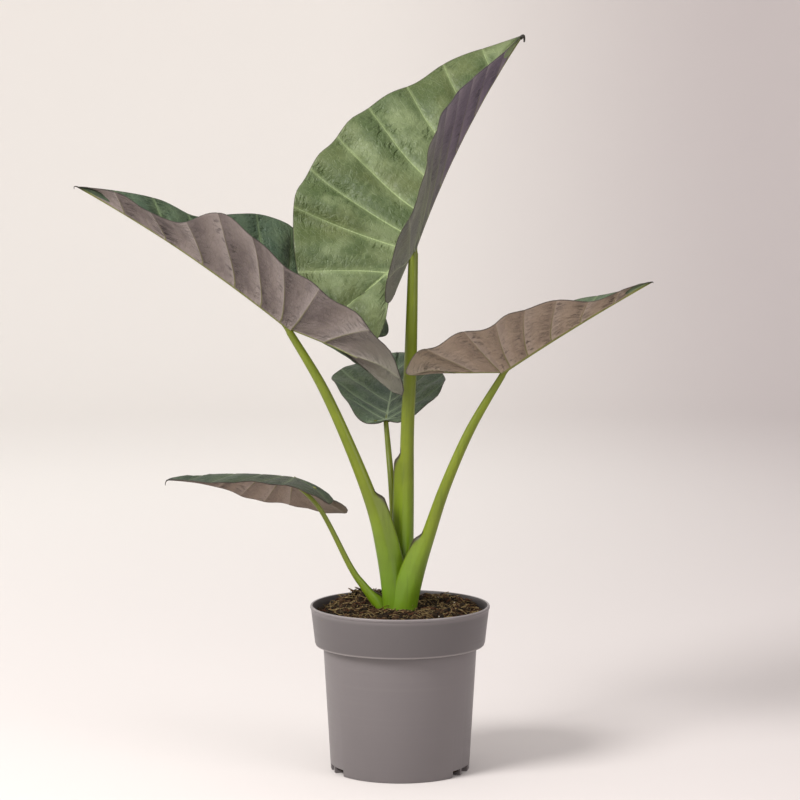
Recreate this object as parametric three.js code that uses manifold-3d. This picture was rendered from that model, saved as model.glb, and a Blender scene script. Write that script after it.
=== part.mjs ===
import * as THREE from 'three';
import { mergeVertices } from 'three/addons/utils/BufferGeometryUtils.js';
import Module from 'manifold-3d';

// A potted alocasia: five shield-shaped leaves on sheathed stalks that grow from one crown,
// standing in rough soil in a plain round nursery pot.
// Millimetres, +Z up, origin at the centre of the pot's underside, front of the plant towards -Y.

const wasm = await Module();
wasm.setup();

// Pot
const POT_HEIGHT = 157;
const RIM_RADIUS = 85;
const BAND_HEIGHT = 38;
const BAND_FOOT_RADIUS = 80.6;
const BODY_TOP_RADIUS = 72.8;
const BASE_RADIUS = 65.8;
const WALL = 2.2;
const FLOOR = 3;
const FOOT_BEVEL = 1.2;
const BAND_FOOT = POT_HEIGHT - BAND_HEIGHT;
const LIP_DEPTH = 3.2;
const POT_SIDES = 48;
const SLOT_ANGLES = [-157, -28, 90];
const SLOT_SPAN = 27;
const SLOT_HEIGHT = 6.5;
const SLOT_RIB = 2.4;
const SLOT_RIB_PLACE = -0.15;
const SLOT_OVERCUT = 2;

// Soil
const SOIL_LEVEL = 150;
const SOIL_GAP = 0.3;
const SOIL_RISE = 3;
const SOIL_DRAFT = 0.4;
const SOIL_SIDE_DRAFT = 1;
const SOIL_EDGE_DEPTH = 8;
const SOIL_EDGE_DROP = 6;
const SOIL_RINGS = 8;
const SOIL_SIDES = 36;

// Corners this close are one corner
const WELD = 0.03;

// Leaves
const BLADE = 0.9;
const SEAT_GAP = 0.3;
const MIDRIB_HEIGHT = 2.4;
const MIDRIB_TIP = 0.5;
const LOBE_RIB_HEIGHT = 1.2;
const PUFF_REACH = 70;
const SEAT_DROP = BLADE / 2 + MIDRIB_HEIGHT + MIDRIB_TIP + SEAT_GAP;
const VEIN_HEIGHT = 0.9;
const ROWS_PER_VEIN = 3;
const VEIN_BEND = 1.25;
const ROOT_CROWD = 1.5;
const FIRST_VEIN_SHARE = 0.3;
const HALF_WIDTH_SHARE = 0.42;

// Each leaf: where its stalk meets it, which way its midrib runs and bows, which way its upper side faces,
// how far each half folds up from flat in degrees (at the junction, and its change towards the tip, towards
// the margin and towards the lobe), the height of the edge's waves on each half and their number, the swell
// between side veins, how many veins a half has, and the outline of each half, flattened out, as
// [along, across] points from the notch at the stalk round the lobe to the tip.
const LEAVES = [
  {
    name: 'leaf_top',
    seat: [11.6, 20, 490], length: 266, along: [0.3, 0.45, 0.8], bow: [27, 10, -11],
    face: [-0.25, -0.75, 0.6],
    foldLeft: [12, 0, 5, 0], foldRight: [66, 20, 4, 25],
    wave: [4, 1.2], waves: 6, quilt: 2.4, veins: 7, lobeVeins: 2,
    outlineLeft: [[0, 0], [-18, 4], [-52, 6], [-84, 4], [-106, 14], [-94, 54], [-60, 90], [-23, 110],
      [21, 124], [66, 118], [126, 99], [175, 66], [213, 46], [240, 22], [266, 0]],
    outlineRight: [[0, 0], [-16, 10], [-42, 20], [-68, 30], [-80, 52], [-70, 80], [-46, 98], [-14, 108],
      [34, 112], [84, 102], [130, 76], [178, 44], [224, 17], [266, 0]],
  },
  {
    name: 'leaf_left',
    seat: [-101, -10, 418.5], length: 238, along: [-0.76, -0.1, 0.62], bow: [-12, 0, -17],
    face: [0.5, 0, 0.85],
    foldLeft: [33, 10, 5, -10], foldRight: [50, 10, 0, 0],
    wave: [3, 3], waves: 5, quilt: 2.2, veins: 7, lobeVeins: 2,
    outlineLeft: [[0, 0], [-14, 8], [-41, 26], [-84, 34], [-112, 42], [-98, 66], [-62, 84], [-26, 86],
      [13, 78], [58, 73], [100, 79], [125, 68], [143, 32], [173, 21], [203, 21], [238, 0]],
    outlineRight: [[0, 0], [-12, 14], [-34, 34], [-60, 50], [-76, 68], [-66, 84], [-42, 92], [-10, 93],
      [30, 91], [72, 89], [103, 64], [132, 38], [167, 32], [203, 17], [238, 0]],
  },
  {
    name: 'leaf_right',
    seat: [93.4, -30, 380], length: 162, along: [0.76, -0.3, 0.53], bow: [8, -5, -2], face: [-0.4, 0, 0.9],
    foldLeft: [26, 10, 0, 0], foldRight: [44, 8, 0, 0],
    wave: [2.5, 2.5], waves: 4, quilt: 1.8, veins: 6, lobeVeins: 2,
    outlineLeft: [[0, 0], [-10, 14], [-30, 36], [-54, 54], [-64, 68], [-50, 80], [-24, 82], [8, 76],
      [50, 60], [90, 34], [130, 11], [162, 0]],
    outlineRight: [[0, 0], [-12, 15], [-38, 42], [-58, 70], [-48, 80], [-19, 80], [8, 70], [30, 58],
      [54, 55], [89, 38], [112, 14], [140, 8], [162, 0]],
  },
  {
    name: 'leaf_back',
    seat: [-13.4, 40, 328.7], length: 152, along: [0.08, 0.93, 0.36], bow: [0, 0, 0], face: [0, -0.3, 0.95],
    foldLeft: [10, 0, 0, 0], foldRight: [20, 0, 0, 0],
    wave: [2, 2], waves: 4, quilt: 1.8, veins: 5, lobeVeins: 1,
    outlineLeft: [[0, 0], [-10, 6], [-15, 18], [-5, 28], [29, 43], [67, 60], [87, 53], [110, 39], [134, 22],
      [152, 0]],
    outlineRight: [[0, 0], [-8, 6], [-15, 16], [-7, 31], [17, 48], [50, 57], [87, 46], [112, 33], [134, 20],
      [152, 0]],
  },
  {
    name: 'leaf_low',
    seat: [-100.4, 0, 278.3], length: 122, along: [-0.9, -0.2, 0.14], bow: [0, 0, -18], face: [0, -0.05, 1],
    foldLeft: [-6, 0, 0, -60], foldRight: [-50, 0, 0, 0],
    wave: [1.5, 1.5], waves: 4, quilt: 1.4, veins: 5, lobeVeins: 1,
    outlineLeft: [[0, 0], [-10, 7], [-24, 15], [-36, 25], [-32, 38], [-12, 42], [14, 37], [50, 28],
      [72, 32], [93, 22], [108, 10], [122, 0]],
    outlineRight: [[0, 0], [-12, 8], [-30, 18], [-58, 26], [-63, 36], [-38, 42], [-9, 40], [34, 37],
      [58, 25], [88, 12], [122, 0]],
  },
];

// Stalks: how far under its leaf's seat each one ends, the sheath's flap as its start height, width and
// heading, the centre line's points with the radius at each, and the radius at the leaf
const STALKS = [
  {
    leaf: 'leaf_top', below: SEAT_DROP, flap: [300, 5.5, 180],
    path: [[3, 2, 128, 8.5], [4, 3, 161, 8.5], [6, 10, 255, 7.2], [7, 14, 321, 6.4], [10, 17, 388, 6]],
    endRadius: 4.6,
  },
  {
    leaf: 'leaf_left', below: SEAT_DROP, flap: [264, 6, 0],
    path: [[-5, -5, 128, 10.5], [-6, -5, 162, 10.5], [-13, -6, 205, 9], [-25, -8, 251, 6.9],
      [-47, -9, 308, 5.5], [-73, -10, 365, 4.6]],
    endRadius: 3.4,
  },
  {
    leaf: 'leaf_right', below: SEAT_DROP, flap: [226, 5, 180],
    path: [[3, -10, 128, 11], [5, -10, 156, 11], [14, -14, 190, 9.2], [26, -18, 224, 6.6],
      [42.5, -24, 273, 5.2], [66, -27, 327, 4.3]],
    endRadius: 3,
  },
  {
    leaf: 'leaf_back', below: SEAT_DROP, flap: [0, 0, 0],
    path: [[-1, 10, 128, 5], [-2, 12, 159, 4.6], [-7, 20, 254, 3.4], [-11, 34, 300, 2.8]],
    endRadius: 2.4,
  },
  {
    leaf: 'leaf_low', below: SEAT_DROP + 1.4, flap: [168, 3, 0],
    path: [[-12, 0, 128, 6.5], [-18, 0, 153, 6.2], [-34, 0, 174, 3.9], [-47, 0, 193, 2.9],
      [-75, 0, 247, 2.2]],
    endRadius: 1.9,
  },
];

const vector = (list) => new THREE.Vector3(list[0], list[1], list[2]);
const material = (color, roughness) => new THREE.MeshStandardMaterial({ color, roughness, metalness: 0 });

function toSolid(geometry) {
  const bare = geometry.clone();
  bare.deleteAttribute('normal');
  bare.deleteAttribute('uv');
  const merged = mergeVertices(bare, 1e-3);
  const vertProperties = new Float32Array(merged.attributes.position.array);
  const triVerts = new Uint32Array(merged.index.array);
  return new wasm.Manifold(new wasm.Mesh({ numProp: 3, vertProperties, triVerts }));
}

// Corners closer than the weld distance become one, and faces that shrink to a line are left out.
function toGeometry(solid) {
  const mesh = solid.getMesh();
  const geometry = new THREE.BufferGeometry();
  geometry.setAttribute('position', new THREE.BufferAttribute(new Float32Array(mesh.vertProperties), 3));
  geometry.setIndex(new THREE.BufferAttribute(new Uint32Array(mesh.triVerts), 1));
  const welded = mergeVertices(geometry, WELD);
  const corners = welded.index.array;
  const kept = [];
  for (let i = 0; i < corners.length; i += 3) {
    const [a, b, c] = [corners[i], corners[i + 1], corners[i + 2]];
    if (a !== b && b !== c && c !== a) kept.push(a, b, c);
  }
  welded.setIndex(kept);
  return welded;
}

function piece(name, geometry, look) {
  const mesh = new THREE.Mesh(geometry, look);
  mesh.name = name;
  return mesh;
}

// Shape of a leaf

// A point of the leaf's skin: the flattened point carried onto the bowed midrib and the folded half
function bladePoint(leaf, along, across, side) {
  const u = along / leaf.length;
  const start = vector(leaf.along).normalize();
  const bow = vector(leaf.bow);
  const onRib = vector(leaf.seat).addScaledVector(start, along).addScaledVector(bow, u * u);
  const heading = start.clone().multiplyScalar(leaf.length).addScaledVector(bow, 2 * u).normalize();
  const face = vector(leaf.face);
  face.addScaledVector(heading, -face.dot(heading)).normalize();
  const outward = new THREE.Vector3().crossVectors(heading, face).multiplyScalar(side);
  const fold = side < 0 ? leaf.foldLeft : leaf.foldRight;
  const wave = side < 0 ? leaf.wave[0] : leaf.wave[1];
  const halfWidth = HALF_WIDTH_SHARE * leaf.length;
  const turn = u > 0 ? fold[1] * u : -fold[3] * u;
  const lift = THREE.MathUtils.degToRad(fold[0] + turn + (fold[2] * across) / halfWidth);
  const ripple = wave * (across / halfWidth) ** 2 * Math.sin(2 * Math.PI * leaf.waves * u + side);
  return onRib
    .addScaledVector(outward, across * Math.cos(lift) - ripple * Math.sin(lift))
    .addScaledVector(face, across * Math.sin(lift) + ripple * Math.cos(lift));
}

// A lobe's rib heads for the margin's furthest point back and outward, and runs this share of the way to it.
const LOBE_LEAN = 0.6;
const LOBE_RIB_SHARE = 0.6;
const MARGIN_SAMPLES = 200;

// Rows run from the rib to the margin along the side veins, first round the lobe and then up the blade.
// The side veins leave the midrib closer together near the stalk.
function bladeRows(leaf, outline) {
  const margin = new THREE.SplineCurve(outline.map((p) => new THREE.Vector2(p[0], p[1])));
  const backward = outline.map(([along, across]) => (along < 0 ? LOBE_LEAN * across - along : 0));
  const lobeTip = backward.indexOf(Math.max(...backward));
  const lobeEnd = new THREE.Vector2(...outline[lobeTip]).multiplyScalar(LOBE_RIB_SHARE);
  const tipShare = lobeTip / (outline.length - 1);
  const lengths = margin.getLengths(MARGIN_SAMPLES);
  const total = lengths[MARGIN_SAMPLES];
  const lobeShare = lengths[Math.round(MARGIN_SAMPLES * tipShare)] / total;
  const firstShare = lobeShare + (1 - lobeShare) * FIRST_VEIN_SHARE;
  const lobeRows = leaf.lobeVeins * ROWS_PER_VEIN;
  const mainRows = leaf.veins * ROWS_PER_VEIN;
  const rows = [];
  for (let i = 0; i < lobeRows; i += 1) {
    const t = i / lobeRows;
    rows.push({ root: lobeEnd.clone().multiplyScalar(t), end: margin.getPointAt(lobeShare * t), index: i });
  }
  for (let i = 0; i < lobeRows; i += 1) {
    const t = i / lobeRows;
    const share = lobeShare + (firstShare - lobeShare) * t;
    rows.push({ root: lobeEnd.clone().multiplyScalar(1 - t), end: margin.getPointAt(share), index: i });
  }
  for (let i = 0; i <= mainRows; i += 1) {
    const t = i / mainRows;
    const share = firstShare + (1 - firstShare) * t;
    const root = new THREE.Vector2(leaf.length * t ** ROOT_CROWD, 0);
    rows.push({ root, end: margin.getPointAt(share), index: i });
  }
  return rows;
}

// Shares of the way from the rib to the margin
const ACROSS = [0, 0.05, 0.24, 0.44, 0.64, 0.84, 1];

// One half as a grid of skin points, each with how far the rib stands out of the underside there
function bladeHalf(leaf, outline, side) {
  return bladeRows(leaf, outline).map((row) => {
    const step = row.index % ROWS_PER_VEIN;
    const pillow = Math.sin((Math.PI * step) / ROWS_PER_VEIN);
    const run = row.end.clone().sub(row.root);
    return ACROSS.map((b) => {
      const along = row.root.x + run.x * b ** VEIN_BEND;
      const across = row.root.y + run.y * b;
      const point = bladePoint(leaf, along, across, side);
      const fade = 1 - THREE.MathUtils.clamp(along / leaf.length, 0, 1);
      let rib = step === 0 ? VEIN_HEIGHT * (1 - b) : 0;
      if (b === 0) rib = along < 0 ? LOBE_RIB_HEIGHT : MIDRIB_TIP + MIDRIB_HEIGHT * fade;
      const spread = Math.min(1, Math.hypot(along, across) / PUFF_REACH);
      return { point, rib, puff: leaf.quilt * pillow * spread * Math.sin(Math.PI * b) };
    });
  });
}

// Both halves as one thin closed solid: the skin, thickened both ways, with a rim round the margin
function bladeSolid(leaf) {
  const points = [];
  const ribs = [];
  const puffs = [];
  const seen = new Map();
  const put = (cell) => {
    const key = cell.point.toArray().map((v) => Math.round(v * 100)).join(' ');
    if (!seen.has(key)) {
      seen.set(key, points.length);
      points.push(cell.point);
      ribs.push(cell.rib);
      puffs.push(cell.puff);
    }
    return seen.get(key);
  };
  const faces = [];
  const addFace = (a, b, c) => {
    if (a !== b && b !== c && c !== a) faces.push([a, b, c]);
  };
  for (const [outline, side] of [[leaf.outlineLeft, -1], [leaf.outlineRight, 1]]) {
    const grid = bladeHalf(leaf, outline, side).map((row) => row.map(put));
    for (let i = 0; i + 1 < grid.length; i += 1) {
      for (let j = 0; j + 1 < ACROSS.length; j += 1) {
        const quad = [grid[i][j], grid[i][j + 1], grid[i + 1][j + 1], grid[i + 1][j]];
        if (side > 0) quad.reverse();
        addFace(quad[0], quad[1], quad[2]);
        addFace(quad[0], quad[2], quad[3]);
      }
    }
  }
  const normals = points.map(() => new THREE.Vector3());
  for (const [a, b, c] of faces) {
    const normal = points[b].clone().sub(points[a]).cross(points[c].clone().sub(points[a]));
    for (const k of [a, b, c]) normals[k].add(normal);
  }
  const face = vector(leaf.face);
  normals.forEach((n) => n.normalize());
  const flip = normals.reduce((sum, n) => sum + n.dot(face), 0) < 0 ? -1 : 1;
  const count = points.length;
  const top = points.map((p, k) => p.clone().addScaledVector(normals[k], flip * (puffs[k] + BLADE / 2)));
  const under = points.map((p, k) =>
    p.clone().addScaledVector(normals[k], flip * (puffs[k] - BLADE / 2 - ribs[k])));
  const index = [];
  const edges = new Map();
  for (const [a, b, c] of faces) {
    const [p, q, r] = flip > 0 ? [a, b, c] : [a, c, b];
    index.push(p, q, r, count + p, count + r, count + q);
    for (const [s, t] of [[p, q], [q, r], [r, p]]) {
      if (edges.has(`${t} ${s}`)) edges.delete(`${t} ${s}`);
      else edges.set(`${s} ${t}`, [s, t]);
    }
  }
  for (const [s, t] of edges.values()) index.push(s, count + s, count + t, s, count + t, t);
  const geometry = new THREE.BufferGeometry();
  const flat = [...top, ...under].flatMap((p) => p.toArray());
  geometry.setAttribute('position', new THREE.Float32BufferAttribute(flat, 3));
  geometry.setIndex(index);
  return geometry;
}

// Stalks

const STALK_SIDES = 12;
const STALK_STEPS = 24;
const FLAP_OPENING = 26;
const FLAP_SHARPNESS = 5;

function stalkGeometry(stalk, extra) {
  const leaf = LEAVES.find((each) => each.name === stalk.leaf);
  const face = vector(leaf.face).normalize();
  const end = vector(leaf.seat).addScaledVector(face, -stalk.below);
  const centre = new THREE.CatmullRomCurve3([...stalk.path.map(vector), end]);
  const radii = [...stalk.path.map((p) => p[3]), stalk.endRadius];
  const thickness = new THREE.SplineCurve(radii.map((radius, i) => new THREE.Vector2(i, radius)));
  const [flapTop, flapWidth, heading] = stalk.flap;
  const flapHeading = THREE.MathUtils.degToRad(heading);
  const positions = [];
  const index = [];
  const forward = new THREE.Vector3(0, -1, 0);
  for (let i = 0; i <= STALK_STEPS; i += 1) {
    const t = i / STALK_STEPS;
    const middle = centre.getPointAt(t);
    if (i === 0) middle.z -= extra;
    const tangent = centre.getTangentAt(t);
    const sideways = new THREE.Vector3().crossVectors(tangent, forward).normalize();
    const front = new THREE.Vector3().crossVectors(sideways, tangent).normalize();
    const radius = thickness.getPoint(centre.getUtoTmapping(t)).y + extra;
    const open = THREE.MathUtils.smoothstep(flapTop - middle.z, 0, FLAP_OPENING);
    for (let j = 0; j < STALK_SIDES; j += 1) {
      const turn = (2 * Math.PI * j) / STALK_SIDES;
      const flap = flapWidth * open * Math.max(0, Math.cos(turn - flapHeading)) ** FLAP_SHARPNESS;
      const point = middle.clone()
        .addScaledVector(sideways, (radius + flap) * Math.cos(turn))
        .addScaledVector(front, radius * Math.sin(turn));
      if (i === STALK_STEPS) {
        const height = point.clone().sub(end).dot(face);
        point.addScaledVector(tangent, -height / tangent.dot(face));
      }
      positions.push(...point.toArray());
    }
  }
  for (let i = 0; i < STALK_STEPS; i += 1) {
    for (let j = 0; j < STALK_SIDES; j += 1) {
      const a = i * STALK_SIDES + j;
      const b = i * STALK_SIDES + ((j + 1) % STALK_SIDES);
      index.push(a, b, b + STALK_SIDES, a, b + STALK_SIDES, a + STALK_SIDES);
    }
  }
  for (const [ring, turn] of [[0, 1], [STALK_STEPS, -1]]) {
    const first = ring * STALK_SIDES;
    for (let j = 1; j + 1 < STALK_SIDES; j += 1) {
      const pair = [first + j, first + j + 1];
      if (turn > 0) pair.reverse();
      index.push(first, pair[0], pair[1]);
    }
  }
  const geometry = new THREE.BufferGeometry();
  geometry.setAttribute('position', new THREE.Float32BufferAttribute(positions, 3));
  geometry.setIndex(index);
  return geometry;
}

function outwardSolid(geometry) {
  const solid = toSolid(geometry);
  if (solid.volume() > 0) return solid;
  const flipped = geometry.clone();
  const order = Array.from(flipped.index.array);
  for (let i = 0; i < order.length; i += 3) [order[i + 1], order[i + 2]] = [order[i + 2], order[i + 1]];
  flipped.setIndex(order);
  return toSolid(flipped);
}

function crown(extra) {
  return STALKS.map((stalk) => outwardSolid(stalkGeometry(stalk, extra))).reduce((a, b) => a.add(b));
}

// Pot

// The wall in section, as [radius, height] points from the middle of the underside, up the outside with its
// rounded foot, the overhanging band and the bead of the lip, and back down the inside
function potSolid() {
  const outer = [
    [0, 0], [BASE_RADIUS - FOOT_BEVEL, 0], [BASE_RADIUS, FOOT_BEVEL],
    [BODY_TOP_RADIUS, BAND_FOOT + 1.5], [BAND_FOOT_RADIUS - 2.5, BAND_FOOT],
    [BAND_FOOT_RADIUS - 0.8, BAND_FOOT + 0.7], [BAND_FOOT_RADIUS, BAND_FOOT + 3],
    [RIM_RADIUS - 0.7, POT_HEIGHT - LIP_DEPTH], [RIM_RADIUS, POT_HEIGHT - LIP_DEPTH + 0.8],
    [RIM_RADIUS - 0.2, POT_HEIGHT - 0.5], [RIM_RADIUS - 0.9, POT_HEIGHT],
  ];
  const inner = [
    [RIM_RADIUS - WALL, POT_HEIGHT - 0.3], [RIM_RADIUS - WALL - 0.6, POT_HEIGHT - 2],
    [BAND_FOOT_RADIUS - WALL, BAND_FOOT + WALL], [BODY_TOP_RADIUS - WALL, BAND_FOOT - 2],
    [BASE_RADIUS - WALL, FLOOR + 1], [BASE_RADIUS - WALL - 1, FLOOR], [0, FLOOR],
  ];
  const profile = [...outer, ...inner].map((p) => new THREE.Vector2(p[0], p[1]));
  const lathe = new THREE.LatheGeometry(profile, POT_SIDES);
  lathe.rotateX(Math.PI / 2);
  let solid = outwardSolid(lathe);
  for (const angle of SLOT_ANGLES) solid = solid.subtract(slotCutter(angle));
  return solid;
}

// A drainage slot through the foot of the wall, open at the bottom, with one upright rib left in it
function slotCutter(angle) {
  const half = THREE.MathUtils.degToRad(SLOT_SPAN / 2);
  const ribHalf = SLOT_RIB / 2 / BASE_RADIUS;
  const rib = SLOT_RIB_PLACE * half;
  const parts = [[-half, rib - ribHalf], [rib + ribHalf, half]].map(([from, to]) => {
    const shape = new THREE.Shape();
    const inner = BASE_RADIUS - WALL - 5;
    shape.absarc(0, 0, BASE_RADIUS + 2 * SLOT_OVERCUT, from, to, false);
    shape.absarc(0, 0, inner, to, from, true);
    const options = { depth: SLOT_HEIGHT + SLOT_OVERCUT, bevelEnabled: false, curveSegments: 5 };
    const block = new THREE.ExtrudeGeometry(shape, options);
    block.translate(0, 0, -SLOT_OVERCUT);
    block.rotateZ(THREE.MathUtils.degToRad(angle));
    return outwardSolid(block);
  });
  return parts[0].add(parts[1]);
}

// Soil

// A plug of soil: rings of points over its rough top and down its side, a little inside the pot's wall.
// Lumps of the surface: a few waves of different lengths that do not line up
function lumps(x, y) {
  return 1.6 * Math.sin(0.11 * x + 0.4) * Math.cos(0.13 * y + 1.1)
    + 1.2 * Math.sin(0.29 * x - 0.21 * y + 2) + 0.9 * Math.cos(0.41 * y + 0.33 * x);
}

// Two heaps behind the stalks, each [x, y, height, spread squared], over a bed that sinks towards the wall
const HEAPS = [[-30, 34, 10, 900], [48, 30, 6, 1100]];

function soilHeight(x, y, radius) {
  const heaped = HEAPS.map(([cx, cy, height, spread]) => {
    return height * Math.exp(-((x - cx) ** 2 + (y - cy) ** 2) / spread);
  });
  const sunk = SOIL_EDGE_DROP * THREE.MathUtils.smoothstep(radius, 52, 76);
  return SOIL_LEVEL + SOIL_RISE + heaped[0] + heaped[1] - sunk + lumps(x, y);
}

// The soil's radius at a height, a little inside the pot's wall
function soilWall(z) {
  const low = BASE_RADIUS + ((BODY_TOP_RADIUS - BASE_RADIUS) * z) / BAND_FOOT;
  const high = BAND_FOOT_RADIUS + ((RIM_RADIUS - BAND_FOOT_RADIUS) * (z - BAND_FOOT)) / BAND_HEIGHT;
  return (z < BAND_FOOT ? low : high) - WALL - SOIL_GAP - SOIL_DRAFT;
}

function soilSolid() {
  const positions = [0, 0, soilHeight(0, 0, 0)];
  const index = [];
  const ring = (radiusAt, zAt) => {
    const first = positions.length / 3;
    for (let j = 0; j < SOIL_SIDES; j += 1) {
      const turn = (2 * Math.PI * j) / SOIL_SIDES;
      const radius = radiusAt(turn);
      const x = radius * Math.cos(turn);
      const y = radius * Math.sin(turn);
      positions.push(x, y, zAt(x, y, radius));
    }
    return first;
  };
  const rings = [];
  const topRadius = soilWall(SOIL_LEVEL - SOIL_EDGE_DEPTH);
  for (let i = 1; i <= SOIL_RINGS; i += 1) rings.push(ring(() => (topRadius * i) / SOIL_RINGS, soilHeight));
  for (const z of [BAND_FOOT + 4, BAND_FOOT - 4, FLOOR + 4]) {
    rings.push(ring(() => soilWall(z) - SOIL_SIDE_DRAFT, () => z));
  }
  rings.push(ring(() => soilWall(FLOOR) - 4 * SOIL_SIDE_DRAFT, () => FLOOR + SOIL_GAP));
  const bottom = positions.length / 3;
  positions.push(0, 0, FLOOR + SOIL_GAP);
  for (let j = 0; j < SOIL_SIDES; j += 1) {
    const k = (j + 1) % SOIL_SIDES;
    index.push(0, rings[0] + j, rings[0] + k);
    for (let i = 0; i + 1 < rings.length; i += 1) {
      const [a, b, c, d] = [rings[i] + j, rings[i + 1] + j, rings[i + 1] + k, rings[i] + k];
      index.push(a, b, c, a, c, d);
    }
    const last = rings[rings.length - 1];
    index.push(last + j, bottom, last + k);
  }
  const geometry = new THREE.BufferGeometry();
  geometry.setAttribute('position', new THREE.Float32BufferAttribute(positions, 3));
  geometry.setIndex(index);
  return outwardSolid(geometry).subtract(crown(SOIL_GAP));
}

const POT_LOOK = material('#7d7676', 0.55);
const SOIL_LOOK = material('#5a4737', 0.95);
const STALK_LOOK = material('#75882c', 0.45);
const BLADE_LOOK = material('#6f8760', 0.5);

const plant = new THREE.Group();
plant.add(piece('pot', toGeometry(potSolid()), POT_LOOK));
plant.add(piece('soil', toGeometry(soilSolid()), SOIL_LOOK));
plant.add(piece('stalks', toGeometry(crown(0)), STALK_LOOK));
for (const leaf of LEAVES) {
  plant.add(piece(leaf.name, toGeometry(outwardSolid(bladeSolid(leaf))), BLADE_LOOK));
}

export default plant;
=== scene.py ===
# %% [markdown]
# # A potted alocasia
# The solid model of this plant is already made: a pot, its soil, five stalks grown as one piece and five
# leaf blades. Here each of those plain solids gets a finer skin of the same form, and a finish.
# We start by loading the imported model as a fixed frame.

# %% Load the frame
import math

import bmesh
import bpy
import numpy as np
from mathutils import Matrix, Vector, noise


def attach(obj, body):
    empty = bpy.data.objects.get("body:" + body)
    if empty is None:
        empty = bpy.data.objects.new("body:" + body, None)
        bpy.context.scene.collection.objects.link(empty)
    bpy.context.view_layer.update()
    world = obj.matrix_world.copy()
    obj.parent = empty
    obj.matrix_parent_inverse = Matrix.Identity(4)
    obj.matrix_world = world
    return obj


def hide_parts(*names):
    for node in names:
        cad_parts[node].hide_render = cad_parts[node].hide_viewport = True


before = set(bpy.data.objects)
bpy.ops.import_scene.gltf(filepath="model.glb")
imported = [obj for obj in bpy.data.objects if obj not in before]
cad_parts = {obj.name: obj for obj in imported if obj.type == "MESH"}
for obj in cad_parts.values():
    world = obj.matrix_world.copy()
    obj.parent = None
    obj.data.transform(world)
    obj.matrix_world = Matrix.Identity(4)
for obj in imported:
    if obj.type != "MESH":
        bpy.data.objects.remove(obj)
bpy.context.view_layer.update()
MM = 0.001
print("nodes:", ", ".join(sorted(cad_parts)))

# %% [markdown]
# ## Camera
# The photograph looks at the pot from a little above, from about two and a third metres in front of it. The pot's rim
# and foot are ellipses, and how flat each one is gives the camera's height and tilt. A long lens keeps the leaves'
# proportions.

# %% Place the camera
CAMERA_DISTANCE = 2.35
CAMERA_HEIGHT = 0.56
CAMERA_TILT = math.radians(5.08)
LENS = 112.95
SENSOR = 36.0


def add_object(name, data):
    """A new object in the scene, at the origin, unturned and unscaled."""
    made = bpy.data.objects.new(name, data)
    bpy.context.scene.collection.objects.link(made)
    return made


camera_data = bpy.data.cameras.new("camera")
camera_data.lens = LENS
camera_data.sensor_width = SENSOR
camera = add_object("camera", camera_data)
camera.location = (0, -CAMERA_DISTANCE, CAMERA_HEIGHT)
camera.rotation_euler = (math.pi / 2 - CAMERA_TILT, 0, 0)
bpy.context.scene.camera = camera
print("camera", CAMERA_DISTANCE, "m away,", LENS, "mm lens")

# %% [markdown]
# ## Shader maths as Python
# A material is a graph of nodes. Drawing it by hand in Python takes a line for each node and each link, so two small
# classes take that work over. `Value` wraps a socket, and sums and products of values add the Math nodes they need.

# %% Wrap sockets so that expressions add nodes
class Value:
    def __init__(self, finish, socket):
        self.finish = finish
        self.socket = socket

    def math(self, operation, a, b=None):
        inputs = {0: a} if b is None else {0: a, 1: b}
        return self.finish.node("ShaderNodeMath", {"operation": operation}, inputs)

    def __add__(self, other):
        return self.math("ADD", self, other)

    def __radd__(self, other):
        return self.math("ADD", other, self)

    def __sub__(self, other):
        return self.math("SUBTRACT", self, other)

    def __rsub__(self, other):
        return self.math("SUBTRACT", other, self)

    def __mul__(self, other):
        return self.math("MULTIPLY", self, other)

    def __rmul__(self, other):
        return self.math("MULTIPLY", other, self)

    def __truediv__(self, other):
        return self.math("DIVIDE", self, other)


print("a value knows + - * and /")

# %% [markdown]
# `Finish` holds one material and adds every other node. Its `node` sets the node's options first, because some of
# them change which sockets there are. A surface is then painted as a maker would paint it, with one thin coat over
# another: `coats` takes a base colour and pairs that say how much of a coat shows and what colour it has.

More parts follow.
